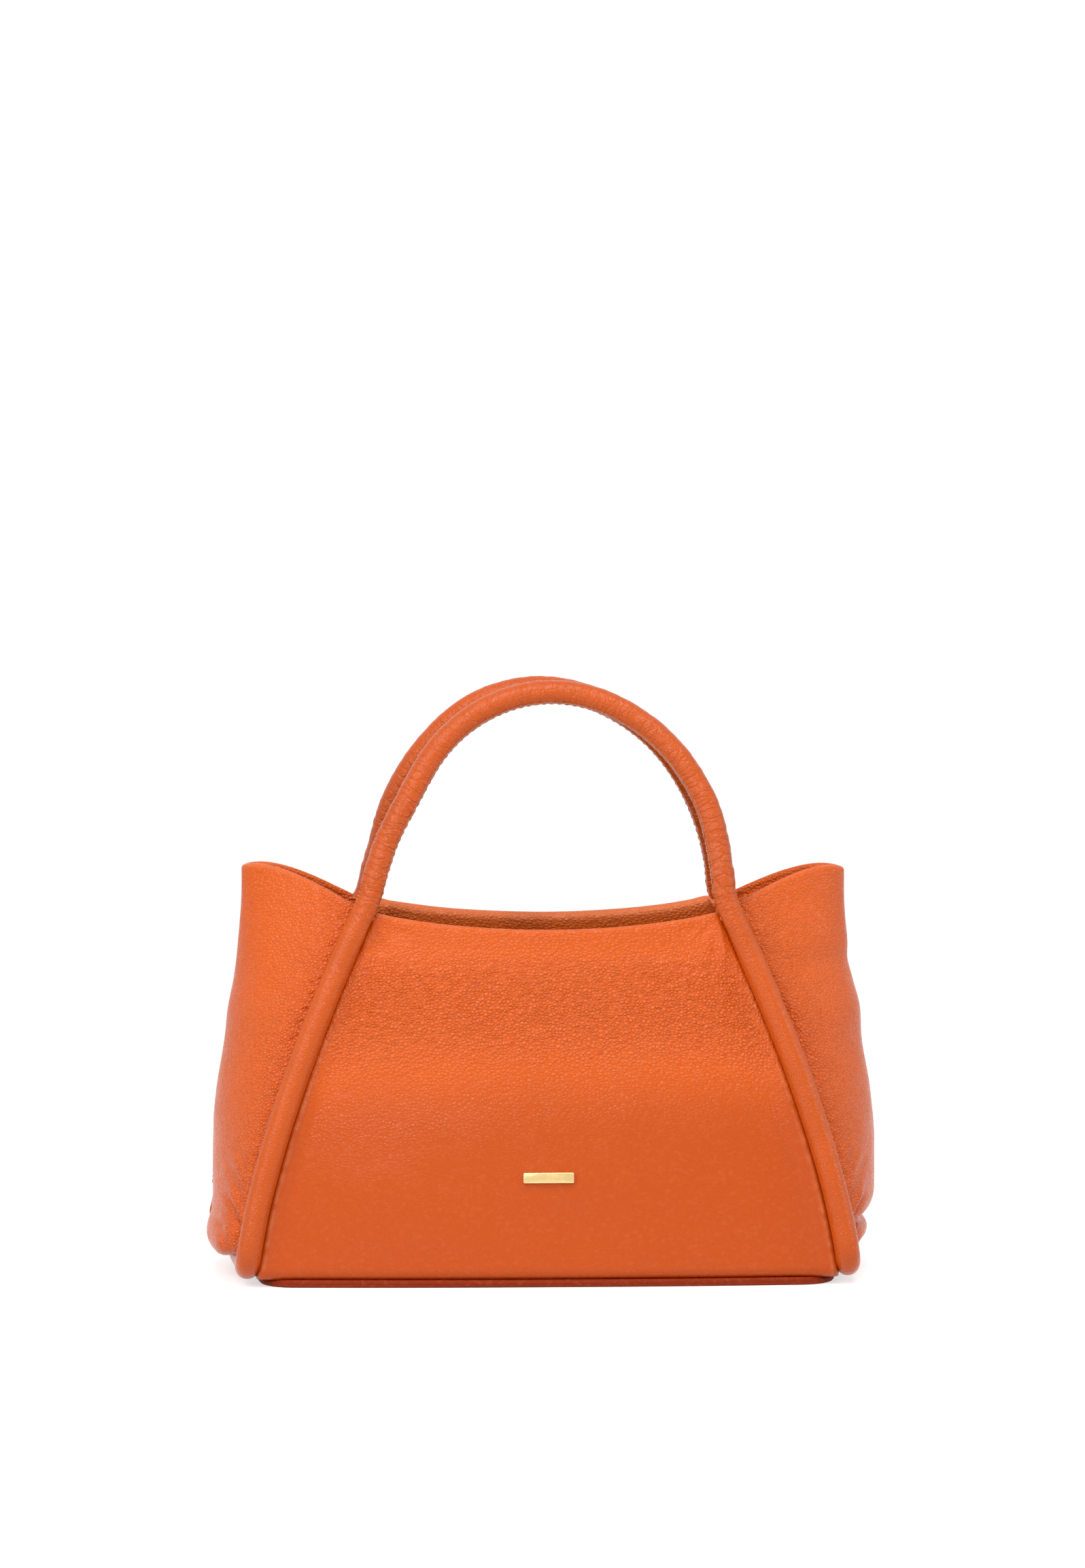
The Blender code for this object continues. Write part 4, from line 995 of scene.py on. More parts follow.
class BAG_OT_side_walls(bpy.types.Operator):
    """Make the two swollen side walls"""
    bl_idname = "bag.side_walls"
    bl_label = "Side walls"

    def execute(self, context):
        shape = BodyShape()
        for name, side in SIDES:
            functions = side_wall_functions(shape, side)
            piece = hemmed_wall(name + "_side_leather", functions, SIDE_WALL_GRID, shape.body.rim_roll)
            points = points_of(piece)
            aside = np.hypot(np.abs(points[:, 0]) - shape.seam_half_width(points[:, 2]),
                             np.abs(points[:, 1]) - shape.seam_half_depth(points[:, 2]))
            grain = 0.62 + 1.50 * np.exp(-aside / (20.0 * MM))
            rim_height = shape.side_rim(np.clip(1.0 + points[:, 1] / shape.body.rim_half_depth, 0.0, 2.0))
            # A pale band along the rim
            mark_leather(piece, grain, 0.15 * bell(points[:, 2] - rim_height, 0.0, 1.5))
            thicken(piece, shape.body.leather)
            dress(piece, "pebbled_leather", nodes=(name + "_side_panel",))
        return {"FINISHED"}


# Rolled tubes

def run_along(points):
    """The distance along a path at each of its points."""
    return np.concatenate([[0.0], np.cumsum(np.linalg.norm(np.diff(points, axis=0), axis=1))])


def even_path(points, spacing):
    """The same path with points at an even spacing, and its length."""
    run = run_along(points)
    places = np.linspace(0.0, run[-1], int(run[-1] / spacing) + 1)
    return np.stack([np.interp(places, run, points[:, axis]) for axis in range(3)], axis=-1), run[-1]


# How far a leg hangs aside, as amount, height and reach in millimetres, for each face and side
HANDLE_SHIFTS = {(-1.0, -1.0): ((3.5, 231.0, 30.0), (1.6, 197.0, 12.0)), (-1.0, 1.0): (),
                 (1.0, -1.0): ((2.6, 202.0, 18.0), (-3.0, 281.0, 18.0)),
                 (1.0, 1.0): ((2.4, 190.0, 32.0), (-3.0, 281.0, 18.0))}


def leg_path(shape, face, side):
    """Half of a long tube: from under a corner up the seam to the handle's top."""
    tube = shape.tube
    bend = tube.base_height + tube.elbow
    corner_depth = float(shape.seam_half_depth(bend)) + tube.proud
    turn = np.linspace(0.5 * math.pi, 0.0, 12)
    z = bend - tube.elbow * np.sin(turn)
    y = face * (corner_depth - tube.elbow * (1.0 - np.cos(turn)))
    elbow = stack(side * shape.seam_half_width(z), y, z)
    lead = elbow[0] - np.array((0.0, face * tube.base_lead, 0.0))
    z = np.linspace(bend, tube.top_height, 60)[1:]
    leg = stack(side * shape.seam_half_width(z), face * (shape.seam_half_depth(z) + tube.proud), z)
    rise = tube.handle_top_height - tube.handle_centre_height
    start = math.asin((tube.hinge_height - tube.handle_centre_height) / rise)
    turn = np.linspace(start, 0.5 * math.pi, 80)
    z = tube.handle_centre_height + rise * np.sin(turn)
    part = (z - tube.hinge_height) / (tube.handle_top_height - tube.hinge_height)
    y = face * between(tube.hinge_half_depth, tube.handle_top_half_depth, part)
    lean = (tube.front_lean if face < 0.0 else tube.back_lean) * smooth_share(part / 0.5)
    arc = stack(side * tube.handle_half_width * np.cos(turn) + lean, y, z)
    path = np.concatenate([lead[None], elbow, leg, arc])
    z = path[:, 2].copy()
    for amount, height, reach in HANDLE_SHIFTS[face, side]:
        path[:, 0] += amount * MM * bell(z, height, reach)
    path[:, 2] -= tube.front_drop * (face < 0.0) * eased(z, 245.0, 36.0)
    return path


def long_tube_path(shape, face):
    """The path of a long tube, from corner to corner over the handle."""
    half = leg_path(shape, face, -1.0)
    other = leg_path(shape, face, 1.0)[::-1][1:]
    path, _ = even_path(np.concatenate([half, other]), TUBE_STEP)
    rounded = smooth_along(path, 7, False)
    kept = 4
    rounded[:kept] = path[:kept]
    rounded[-kept:] = path[-kept:]
    return even_path(rounded, TUBE_STEP)


def base_tube_path(shape, side):
    """The path of a base tube, from the front corner to the back one."""
    tube = shape.tube
    end = shape.body.base_half_depth + tube.proud - tube.elbow - tube.base_lead
    y = np.linspace(-end - 1.2 * MM, end + 1.2 * MM, 90)
    x = shape.seam_half_width(tube.base_height) + tube.base_bow * shape.base_tube_share(y)
    return even_path(stack(side * x, y, shape.base_tube_height(y)), TUBE_STEP)


def inner_sides(path):
    """At each point of a long tube, its direction and the direction to the inside of its loop."""
    forward = unit(np.gradient(path, axis=0))
    inner = np.cross(ACROSS, forward)
    strength = np.linalg.norm(inner, axis=1)
    middle = len(path) // 2
    for order in (range(middle, len(path)), range(middle, -1, -1)):
        held = inner[middle]
        for index in order:
            if strength[index] > 0.75:
                held = inner[index]
            held = held - forward[index] * float(held @ forward[index])
            held = held / np.linalg.norm(held)
            inner[index] = held
    return forward, inner


def tube_piece(name, path, forward, inner, radius_at, columns):
    """A closed round skin about a path; radius_at gives its radius for a turn about it and a row."""
    aside = np.cross(forward, inner)
    rows = len(path) - 1

    def place(around, along):
        row = np.rint(along * rows).astype(int)
        turn = 2.0 * math.pi * around
        ends = np.minimum(row, rows - row)
        cap = np.select([ends == 0, ends == 1, ends == 2], [0.0, 0.80, 0.95], 1.0)
        radius = radius_at(turn, row) * cap
        spoke = np.cos(turn)[:, None] * inner[row] + np.sin(turn)[:, None] * aside[row]
        return path[row] + radius[:, None] * spoke

    piece = sheet_piece(name, columns, rows, place)
    weld(piece)
    return piece


def crease_weight(points):
    """How creased a tube is, and so how much painted shade it gets: most just above and below the rim, less
    along the handle, little below.
    """
    z = points[:, 2]
    rim = bell(z, 200.0, 32.0)
    handle = 0.45 * eased(z, 185.0, 20.0)
    return np.clip(0.10 + rim + handle, 0.0, 1.0)


# One stitch
STITCH_HALF_LENGTH = 1.25 * MM
STITCH_RADIUS = 0.26 * MM
STITCH_ARCH = 0.16 * MM


def stitch_seed():
    """One short stitch along X, slightly arched."""
    bpy.ops.object.select_all(action="DESELECT")
    bpy.ops.mesh.primitive_uv_sphere_add(segments=8, ring_count=6, radius=1.0, location=(0, 0, 0))
    seed = added("stitch_seed")
    points = points_of(seed)[:, ::-1] * np.array((STITCH_HALF_LENGTH, STITCH_RADIUS, STITCH_RADIUS))
    points[:, 2] += STITCH_ARCH * (1.0 - (points[:, 0] / STITCH_HALF_LENGTH) ** 2)
    set_points(seed, points)
    outward(seed)
    return seed


def repeated(name, seed, matrices):
    """Many copies of a small piece as one object, and the small piece is taken away."""
    builder = bmesh.new()
    for matrix in matrices:
        before = len(builder.verts)
        builder.from_mesh(seed.data)
        builder.verts.ensure_lookup_table()
        bmesh.ops.transform(builder, matrix=matrix, verts=builder.verts[before:])
    select_only(seed)
    piece = added(name)
    builder.to_mesh(piece.data)
    builder.free()
    set_smooth(piece)
    return piece


def frames(places, along, outwards):
    """Matrices that put X along a line and Z away from the surface."""
    matrices = []
    for place, run, out in zip(places, unit(along), outwards):
        out = out - run * float(out @ run)
        out = out / np.linalg.norm(out)
        side = np.cross(out, run)
        rotation = Matrix((run, side, out)).transposed().to_4x4()
        matrices.append(Matrix.Translation(Vector(place)) @ rotation)
    return matrices


class BAG_OT_long_tubes(bpy.types.Operator):
    """Make the two long tubes, each up both seams and over as a handle"""
    bl_idname = "bag.long_tubes"
    bl_label = "Long tubes"

    def execute(self, context):
        shape = BodyShape()
        tube = shape.tube
        for name, face in FACES:
            path, run = long_tube_path(shape, face)
            forward, inner = inner_sides(path)
            weight = crease_weight(path)
            in_handle = eased(path[:, 2], 150.0, 25.0)

            def radius_at(turn, row):
                along = row * run / (len(path) - 1)
                wander = noise_at(stack(along / (5.0 * MM), 0.0, face), 1.0, 3.0) * 0.055
                from_seam = np.abs((turn - face * tube.seam_turn + math.pi) % (2.0 * math.pi) - math.pi)
                outside = from_seam - tube.seam_half_angle
                lip = smooth_share((wander - outside) / 0.06)
                ring = stack(0.5 * np.cos(turn), 0.5 * np.sin(turn), along / (3.1 * MM))
                folds = noise_at(ring, 1.0, 11.0 + face)
                slack = noise_at(stack(np.cos(turn), np.sin(turn), along / (19.0 * MM)), 1.0, 15.0 + face)
                sunk = tube.seam_sink * lip * (0.15 + 0.85 * in_handle[row])
                welt = 0.22 * MM * np.exp(-((outside - 0.16) / 0.13) ** 2) * in_handle[row]
                return tube.radius - sunk + welt + folds * 0.36 * MM * weight[row] + slack * 0.16 * MM

            piece = tube_piece(name + "_long_tube", path, forward, inner, radius_at, LONG_TUBE_COLUMNS)
            scale_pattern(piece, 2.0 * math.pi * tube.radius, run)
            turned = face * math.sin(tube.seam_turn) * np.cross(forward, inner)
            seam = math.cos(tube.seam_turn) * inner + turned
            self.mark_tube(piece, path, seam, weight, in_handle, tube)
            dress(piece, "tube_leather", body=None, nodes=self.stood_for(name))
            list(self.hinge_ends(tube, face))
            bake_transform(piece)
            stitches = self.seam_stitches(name, path, forward, seam, tube)
            dress(stitches, "sewing_thread", body=None)
            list(self.hinge_ends(tube, face))
            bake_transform(stitches)
        return {"FINISHED"}

    @staticmethod
    def hinge_ends(tube, face):
        """The two ends of the stretch over which the leather bends at a hinge."""
        depth = face * tube.hinge_half_depth
        return (0.0, depth, tube.top_height - 2.0 * MM), (0.0, depth, tube.hinge_height + 12.0 * MM)

    @staticmethod
    def stood_for(name):
        """The solids that one long tube stands for."""
        nodes = [name + "_handle_tube", name + "_handle_cord"]
        for side in ("left", "right"):
            nodes += [name + "_" + side + "_tube", name + "_" + side + "_tube_cord"]
        return nodes

    @staticmethod
    def mark_tube(piece, path, seam, weight, in_handle, tube):
        """Stores the creases, and the wear along the two lips of the seam."""
        points = points_of(piece)
        mesh = piece.data
        row = np.zeros(len(points), dtype=int)
        corner = np.empty(len(mesh.loops), dtype=int)
        mesh.loops.foreach_get("vertex_index", corner)
        along = pattern_of(piece)[:, 1]
        row[corner] = np.rint(along / along.max() * (len(path) - 1)).astype(int)
        spoke = unit(points - path[row])
        cosine = np.clip(np.sum(spoke * seam[row], axis=1), -1.0, 1.0)
        from_seam = np.arccos(cosine)
        edge = np.exp(-((from_seam - tube.seam_half_angle - 0.05) / 0.05) ** 2)
        mark(piece, "crease", weight[row])
        mark(piece, "wear", 0.9 * edge * in_handle[row])

    @staticmethod
    def seam_stitches(name, path, forward, seam, tube):
        """A row of stitches in the seam of a handle."""
        step = max(1, int(round(tube.stitch_pitch / TUBE_STEP)))
        lowest = tube.top_height - 8.0 * MM
        chosen = [index for index in range(step, len(path) - step, step) if path[index][2] > lowest]
        places = path[chosen] + seam[chosen] * (tube.radius - tube.seam_sink - 0.16 * MM)
        return repeated(name + "_tube_stitches", stitch_seed(), frames(places, forward[chosen], seam[chosen]))


class BAG_OT_base_tubes(bpy.types.Operator):
    """Make the tubes along the short sides of the base"""
    bl_idname = "bag.base_tubes"
    bl_label = "Base tubes"

    def execute(self, context):
        shape = BodyShape()
        tube = shape.tube
        for name, side in SIDES:
            path, run = base_tube_path(shape, side)
            forward = unit(np.gradient(path, axis=0))
            inner = unit(UP - forward * (forward @ UP)[:, None])

            def radius_at(turn, row):
                along = row * run / (len(path) - 1)
                slack = noise_at(stack(np.cos(turn), np.sin(turn), along / (17.0 * MM)), 1.0, 41.0 + side)
                ends = smooth_share(np.minimum(row, len(path) - 1 - row) / 12.0)
                return tube.radius - 0.08 * MM + slack * 0.22 * MM * ends

            piece = tube_piece(name + "_base_rolled_tube", path, forward, inner, radius_at, BASE_TUBE_COLUMNS)
            scale_pattern(piece, 2.0 * math.pi * tube.radius, run)
            mark(piece, "crease", np.full(len(piece.data.vertices), 0.10))
            mark(piece, "wear", np.zeros(len(piece.data.vertices)))
            dress(piece, "tube_leather",
                  nodes=(name + "_base_tube", name + "_base_tube_cord"))
        return {"FINISHED"}


# Base, facing and lining

class BAG_OT_base(bpy.types.Operator):
    """Make the leather base"""
    bl_idname = "bag.base"
    bl_label = "Base"

    def execute(self, context):
        shape = BodyShape()
        body = shape.body
        thickness = body.base_thickness
        half_width = float(shape.seam_half_width(shape.tube.base_height)) - shape.tube.radius - 0.3 * MM
        flat_rows, edge_rows = 12, 6
        rows = 2 * flat_rows + edge_rows
        corners = soft_box(2.0 * half_width, 2.0 * body.base_half_depth, 14.0 * MM)
        ring, _ = even_path(np.array([(x, y, 0.0) for x, y in corners + corners[:1]]), 3.2 * MM)
        columns = len(ring) - 1
        ring = ring / np.array((half_width, body.base_half_depth, 1.0))

        def place(around, inwards):
            x, y, _ = ring[np.rint(around * columns).astype(int)].T
            bow_x = body.base_side_bow * (1.0 - np.clip(np.abs(y), 0.0, 1.0) ** 2) ** 2
            bow_y = body.panel_bow * (1.0 - np.clip(np.abs(x), 0.0, 1.0) ** 2)
            edge_x = x * (half_width + bow_x)
            edge_y = y * (body.base_half_depth + bow_y)
            row = inwards * rows
            roll = 0.5 * thickness
            swing = np.clip((row - flat_rows) / edge_rows, 0.0, 1.0) * math.pi
            inset = roll * (1.0 - np.sin(swing))
            reach = np.minimum(np.minimum(row, rows - row) / flat_rows, 1.0)
            z = roll - roll * np.cos(swing)
            size = np.hypot(edge_x, edge_y)
            held = (size - inset) / size * reach
            ripple = noise_at(stack(edge_x * held, edge_y * held, 0.0), 50.0 * MM, 51.0) * 0.25 * MM
            inside = smooth_share((1.0 - reach) / 0.15) * (row < flat_rows)
            return stack(edge_x * held, edge_y * held, z + np.abs(ripple) * inside)

        piece = sheet_piece("base_leather", columns, rows, place)
        weld(piece)
        outward(piece)
        points = points_of(piece)
        rim = bell(points[:, 2] - 0.5 * thickness, 0.0, 1.2)
        mark_leather(piece, 0.45 - 0.25 * rim, 0.10 * rim * (points[:, 2] < 0.3 * thickness))
        dress(piece, "base_leather", nodes=("base_panel",))
        return {"FINISHED"}


def inset_ring(shape, columns, rows, height_at, inset):
    """Points inside the walls all round the bag, on a grid of places round and up, with softened corners."""
    turns = np.linspace(0.0, 4.0, columns + 1)
    turns[-1] = 0.0
    grid_turn, grid_row = np.meshgrid(turns, np.linspace(0.0, 1.0, rows + 1))
    z = height_at(grid_turn, grid_row)
    flat_turn = grid_turn.ravel()
    flat_z = z.ravel()
    points = shape.mouth_wall(flat_turn, flat_z)
    ahead = shape.mouth_wall((flat_turn + 0.01) % 4.0, flat_z)
    behind = shape.mouth_wall((flat_turn - 0.01) % 4.0, flat_z)
    above = shape.mouth_wall(flat_turn, flat_z + 0.5 * MM)
    below = shape.mouth_wall(flat_turn, flat_z - 0.5 * MM)
    outwards = unit(np.cross(ahead - behind, above - below)).reshape(rows + 1, columns + 1, 3)
    soft = smooth_along(outwards[:, :-1].transpose(1, 0, 2), 3, True).transpose(1, 0, 2)
    outwards = unit(np.concatenate([soft, soft[:, :1]], axis=1))
    return points.reshape(rows + 1, columns + 1, 3) - inset * outwards, outwards


def ring_piece(name, grid):
    """A band from a grid of points whose first and last columns meet."""
    rows, columns = grid.shape[0] - 1, grid.shape[1] - 1

    def place(across, up):
        return grid[np.rint(up * rows).astype(int), np.rint(across * columns).astype(int)]

    piece = sheet_piece(name, columns, rows, place)
    run = run_along(grid[rows // 2])
    climb = run_along(grid[:, columns // 8])
    shares = pattern_of(piece)
    set_pattern(piece, np.stack([np.interp(shares[:, 0] * columns, range(columns + 1), run),
                                 np.interp(shares[:, 1] * rows, range(rows + 1), climb)], axis=-1))
    weld(piece)
    return piece


class BAG_OT_facing(bpy.types.Operator):
    """Make the leather facing inside the mouth, with its row of stitches"""
    bl_idname = "bag.facing"
    bl_label = "Mouth facing"

    def execute(self, context):
        shape = BodyShape()
        body = shape.body
        columns, rows = FACING_GRID
        stitch_row = 3

        def height_at(turn, row):
            top = shape.mouth_rim(turn) - 5.0 * MM
            return between(top - body.facing_width + 5.0 * MM, top, row)

        grid, outwards = inset_ring(shape, columns, rows, height_at, body.lining_inset + 1.2 * MM)
        level = np.linspace(0.0, 1.0, rows + 1)[:, None, None]
        swell = sum(0.5 * MM * np.exp(-((level - middle) / 0.07) ** 2) for middle in (0.05, 0.95))
        ripple = noise_at(grid.reshape(-1, 3), 24.0 * MM, 61.0).reshape(rows + 1, -1, 1) * 0.30 * MM
        piece = ring_piece("mouth_facing_leather", (grid + outwards * (ripple - swell))[:, ::-1])
        mark_leather(piece, np.full(len(piece.data.vertices), 0.8), np.zeros(len(piece.data.vertices)))
        thicken(piece, 1.0 * MM)
        dress(piece, "pebbled_leather", nodes=("mouth_facing",))
        line = grid[stitch_row] - outwards[stitch_row] * 0.15 * MM
        path, _ = even_path(line, 3.6 * MM)
        along = np.gradient(path, axis=0)
        inner = -outwards[stitch_row][np.rint(np.linspace(0, columns, len(path))).astype(int)]
        stitches = repeated("facing_stitches", stitch_seed(), frames(path[:-1], along[:-1], inner[:-1]))
        dress(stitches, "sewing_thread")
        return {"FINISHED"}


class BAG_OT_lining(bpy.types.Operator):
    """Make the slack cloth lining"""
    bl_idname = "bag.lining"
    bl_label = "Lining"

    def execute(self, context):
        shape = BodyShape()
        body = shape.body
        columns, rows = LINING_GRID
        floor_rows = 24
        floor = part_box("lining")[0][2] + 0.9 * MM

        def height_at(turn, row):
            top = shape.mouth_rim(turn) - body.facing_width + 1.5 * MM
            part = np.clip((row * rows - floor_rows) / (rows - floor_rows), 0.0, 1.0)
            return between(floor, top, part)

        grid, outwards = inset_ring(shape, columns, rows, height_at, body.lining_inset + 0.5 * MM)
        folds = noise_at((grid * np.array((1.0, 1.0, 0.35))).reshape(-1, 3), 26.0 * MM, 71.0)
        small = noise_at(grid.reshape(-1, 3), 11.0 * MM, 75.0)
        level = np.clip((np.arange(rows + 1) - floor_rows) / (rows - floor_rows), 0.0, 1.0)[:, None, None]
        calm = smooth_share(level / 0.08) * smooth_share((1.0 - level) / 0.08)
        pocketed = falling(np.abs(grid[..., 0]), 88.0, 10.0)
        pocketed = pocketed * falling(grid[..., 2], 136.0, 6.0)
        pocketed = pocketed * eased(grid[..., 2], 34.0, 8.0)
        slack = (np.abs(folds) * 2.2 * MM + small * 0.4 * MM).reshape(rows + 1, -1, 1) * calm
        slack = slack * (1.0 - pocketed[..., None])
        grid = grid - outwards * slack
        edge = grid[floor_rows].copy()
        middle = np.array((0.0, 0.0, floor))
        for row in range(floor_rows):
            part = row / floor_rows
            grid[row] = middle + (edge - middle) * part
            ripple = noise_at(grid[row], 30.0 * MM, 79.0) * 0.8 * MM * (1.0 - part) * part * 4.0
            grid[row][:, 2] = floor + np.abs(ripple)
        piece = ring_piece("slack_lining", grid[:, ::-1])
        thicken(piece, 0.5 * MM)
        dress(piece, "lining_cloth", nodes=("lining",))
        return {"FINISHED"}


# Fittings, pockets and zip

def soft_box(width, height, corner, x=0.0, y=0.0, steps=6):
    """The outline of a box with round corners."""
    outline = []
    for across, up, start in ((1.0, 1.0, 0.0), (-1.0, 1.0, 0.5), (-1.0, -1.0, 1.0), (1.0, -1.0, 1.5)):
        for step in range(steps + 1):
            turn = math.pi * (start + 0.5 * step / steps)
            outline.append((x + across * (0.5 * width - corner) + corner * math.cos(turn),
                            y + up * (0.5 * height - corner) + corner * math.sin(turn)))
    return outline


def disc_outline(radius, sides):
    """The outline of a round plate."""
    turns = [2.0 * math.pi * step / sides for step in range(sides)]
    return [(radius * math.cos(turn), radius * math.sin(turn)) for turn in turns]


def in_metres(pairs):
    """An outline that is given in millimetres."""
    return [(x * MM, y * MM) for x, y in pairs]


def shade_by_angle(piece):
    """Shades the piece smooth but keeps its sharp edges."""
    select_only(piece)
    bpy.ops.object.shade_smooth_by_angle(angle=math.radians(35.0))


def plate_piece(name, outline, bottom, thickness, edge=0.0):
    """A flat plate with this outline, drawn up from a filled circle, with rounded edges."""
    bpy.ops.object.select_all(action="DESELECT")
    bpy.ops.mesh.primitive_circle_add(vertices=len(outline), radius=1.0, fill_type="NGON", location=(0, 0, 0))
    piece = added(name)
    set_points(piece, np.array([(x, y, bottom) for x, y in outline]))
    bpy.ops.object.mode_set(mode="EDIT")
    bpy.ops.mesh.select_all(action="SELECT")
    bpy.ops.mesh.extrude_region_move(TRANSFORM_OT_translate={"value": (0.0, 0.0, thickness)})
    bpy.ops.object.mode_set(mode="OBJECT")
    outward(piece)
    if edge > 0.0:
        apply_modifier(piece, "BEVEL", width=edge, segments=3, limit_method="ANGLE",
                       angle_limit=math.radians(40.0))
    return piece


def cut_out(piece, tool):
    """Takes the shape of a tool out of the piece, and the tool away."""
    apply_modifier(piece, "BOOLEAN", operation="DIFFERENCE", solver="EXACT", object=tool)
    bpy.data.objects.remove(tool)


def turned_piece(name, profile, columns):
    """A closed round piece turned about Z from pairs of radius and height, in millimetres."""
    radii, heights = np.array(profile).T * MM
    rows = len(profile) - 1

    def place(around, along):
        row = np.rint(along * rows).astype(int)
        turn = 2.0 * math.pi * around
        return stack(radii[row] * np.cos(turn), radii[row] * np.sin(turn), heights[row])

    piece = sheet_piece(name, columns, rows, place)
    weld(piece)
    outward(piece)
    shade_by_angle(piece)
    return piece


def wire_piece(name, path, radius, columns, axis, closed):
    """Round wire along a flat path that lies square to an axis."""
    if closed:
        forward = unit(np.roll(path, -1, axis=0) - np.roll(path, 1, axis=0))
        path = np.concatenate([path, path[:1]])
        forward = np.concatenate([forward, forward[:1]])
    else:
        forward = unit(np.gradient(path, axis=0))
    aside = np.cross(axis, forward)
    rows = len(path) - 1

    def place(around, along):
        row = np.rint(along * rows).astype(int)
        turn = 2.0 * math.pi * around
        held = radius if closed else radius * np.where((row == 0) | (row == rows), 0.0, 1.0)
        return path[row] + (held * np.cos(turn))[:, None] * aside[row] + (held * np.sin(turn))[:, None] * axis

    piece = sheet_piece(name, columns, rows, place)
    weld(piece)
    outward(piece)
    set_smooth(piece)
    return piece


def wall_slope(shape, z):
    """How far a long wall leans at a height, as an angle."""
    step = 2.0 * MM
    return math.atan2(float(shape.seam_half_depth(z - step) - shape.seam_half_depth(z + step)), 2.0 * step)


def wall_matrix(shape, z, inset, face, inwards):
    """The place of a fitting on a long wall, its Z out of the wall or into the bag and its Y up the wall."""
    slope = wall_slope(shape, z)
    depth = float(shape.seam_half_depth(z)) + shape.body.panel_bow - inset / math.cos(slope)
    lean = 0.5 * math.pi + (slope if inwards else -slope)
    looks_back = (face < 0.0) == inwards
    turn = Matrix.Rotation(math.pi if looks_back else 0.0, 4, "Z")
    return Matrix.Translation((0.0, face * depth, z)) @ turn @ Matrix.Rotation(lean, 4, "X")


def pocket_matrix(shape, face, width):
    """The place of a pocket, its Y up the pocket and its Z into the bag, and how far it leans."""
    sizes = bpy.context.scene.bag_fittings
    depths = []
    for z in (sizes.pocket_top_height, sizes.pocket_top_height - sizes.pocket_height):
        half_width = float(shape.seam_half_width(z))
        depths.append(float(shape.long_wall(0.5 * width / half_width, z, half_width, 1.0)[1]))
    slope = math.atan2(depths[1] - depths[0], sizes.pocket_height)
    depth = depths[0] - sizes.pocket_inset / math.cos(slope)
    turn = Matrix.Rotation(0.0 if face > 0.0 else math.pi, 4, "Z")
    place = Matrix.Translation((0.0, face * depth, sizes.pocket_top_height)) @ turn
    return place @ Matrix.Rotation(0.5 * math.pi + slope, 4, "X"), slope


def flat_stitches(name, corners, pitch, height, matrix, closed=False):
    """A row of stitches along straight lines between corners of a flat piece."""
    corners = corners + corners[:1] if closed else corners
    corners = np.array([(x, y, height) for x, y in corners])
    lines = [np.linspace(start, end, 60) for start, end in zip(corners, corners[1:])]
    path, _ = even_path(np.concatenate(lines), pitch)
    middle = 0.5 * (path[1:] + path[:-1])
    up = np.broadcast_to(UP, middle.shape)
    stitches = repeated(name, stitch_seed(), frames(middle, path[1:] - path[:-1], up))
    settle(stitches, matrix)
    return stitches


class BAG_OT_name_bar(bpy.types.Operator):
    """Make the blank bar on the front"""
    bl_idname = "bag.name_bar"
    bl_label = "Blank bar"

    def execute(self, context):
        sizes = context.scene.bag_fittings
        outline = soft_box(sizes.bar_width, sizes.bar_height, 0.6 * MM)
        bar = plate_piece("blank_bar", outline, 0.0, 1.2 * MM, 0.3 * MM)
        shade_by_angle(bar)
        settle(bar, wall_matrix(BodyShape(), sizes.bar_centre_height, -0.3 * MM, -1.0, False))
        dress(bar, "gold_plating", nodes=("blank_plate",))
        return {"FINISHED"}


# The rounded rim that both halves of the snap share, then what each has inside it: radius and height
SNAP_RIM = ((0.0, 0.0), (6.4, 0.0), (6.85, 0.15), (7.0, 0.5), (7.0, 1.0), (6.8, 1.4), (6.3, 1.6))
STUD_PROFILE = ((4.7, 1.6), (4.3, 1.45), (4.1, 1.3), (3.1, 1.3), (2.75, 1.45), (2.6, 1.8), (2.6, 2.9),
                (2.45, 3.25), (2.1, 3.4), (0.8, 3.4), (0.5, 3.3), (0.0, 3.3))
SOCKET_PROFILE = ((3.5, 1.6), (3.1, 1.5), (2.95, 1.25), (2.9, 0.75), (0.0, 0.7))


class BAG_OT_snap(bpy.types.Operator):
    """Make the two halves of the magnetic snap, and finish its hidden washers"""
    bl_idname = "bag.snap"
    bl_label = "Snap"

    def execute(self, context):
        shape = BodyShape()
        sizes = context.scene.bag_fittings
        z = shape.body.rim_centre_height - sizes.snap_drop
        for name, profile, face, solid in (("snap_stud_disc", STUD_PROFILE, -1.0, "snap_stud"),
                                           ("snap_socket_disc", SOCKET_PROFILE, 1.0, "snap_socket")):
            half = turned_piece(name, SNAP_RIM + profile, 48)
            settle(half, wall_matrix(shape, z, sizes.snap_inset, face, True))
            dress(half, "gold_plating", nodes=(solid,))
        for solid, finish in (("front_snap_washer", "steel_plating"), ("back_snap_washer", "steel_plating"),
                              ("base_board", "base_board")):
            hidden = bpy.data.objects[solid]
            hidden.data.materials.clear()
            hidden.data.materials.append(finish_named(finish))
        return {"FINISHED"}


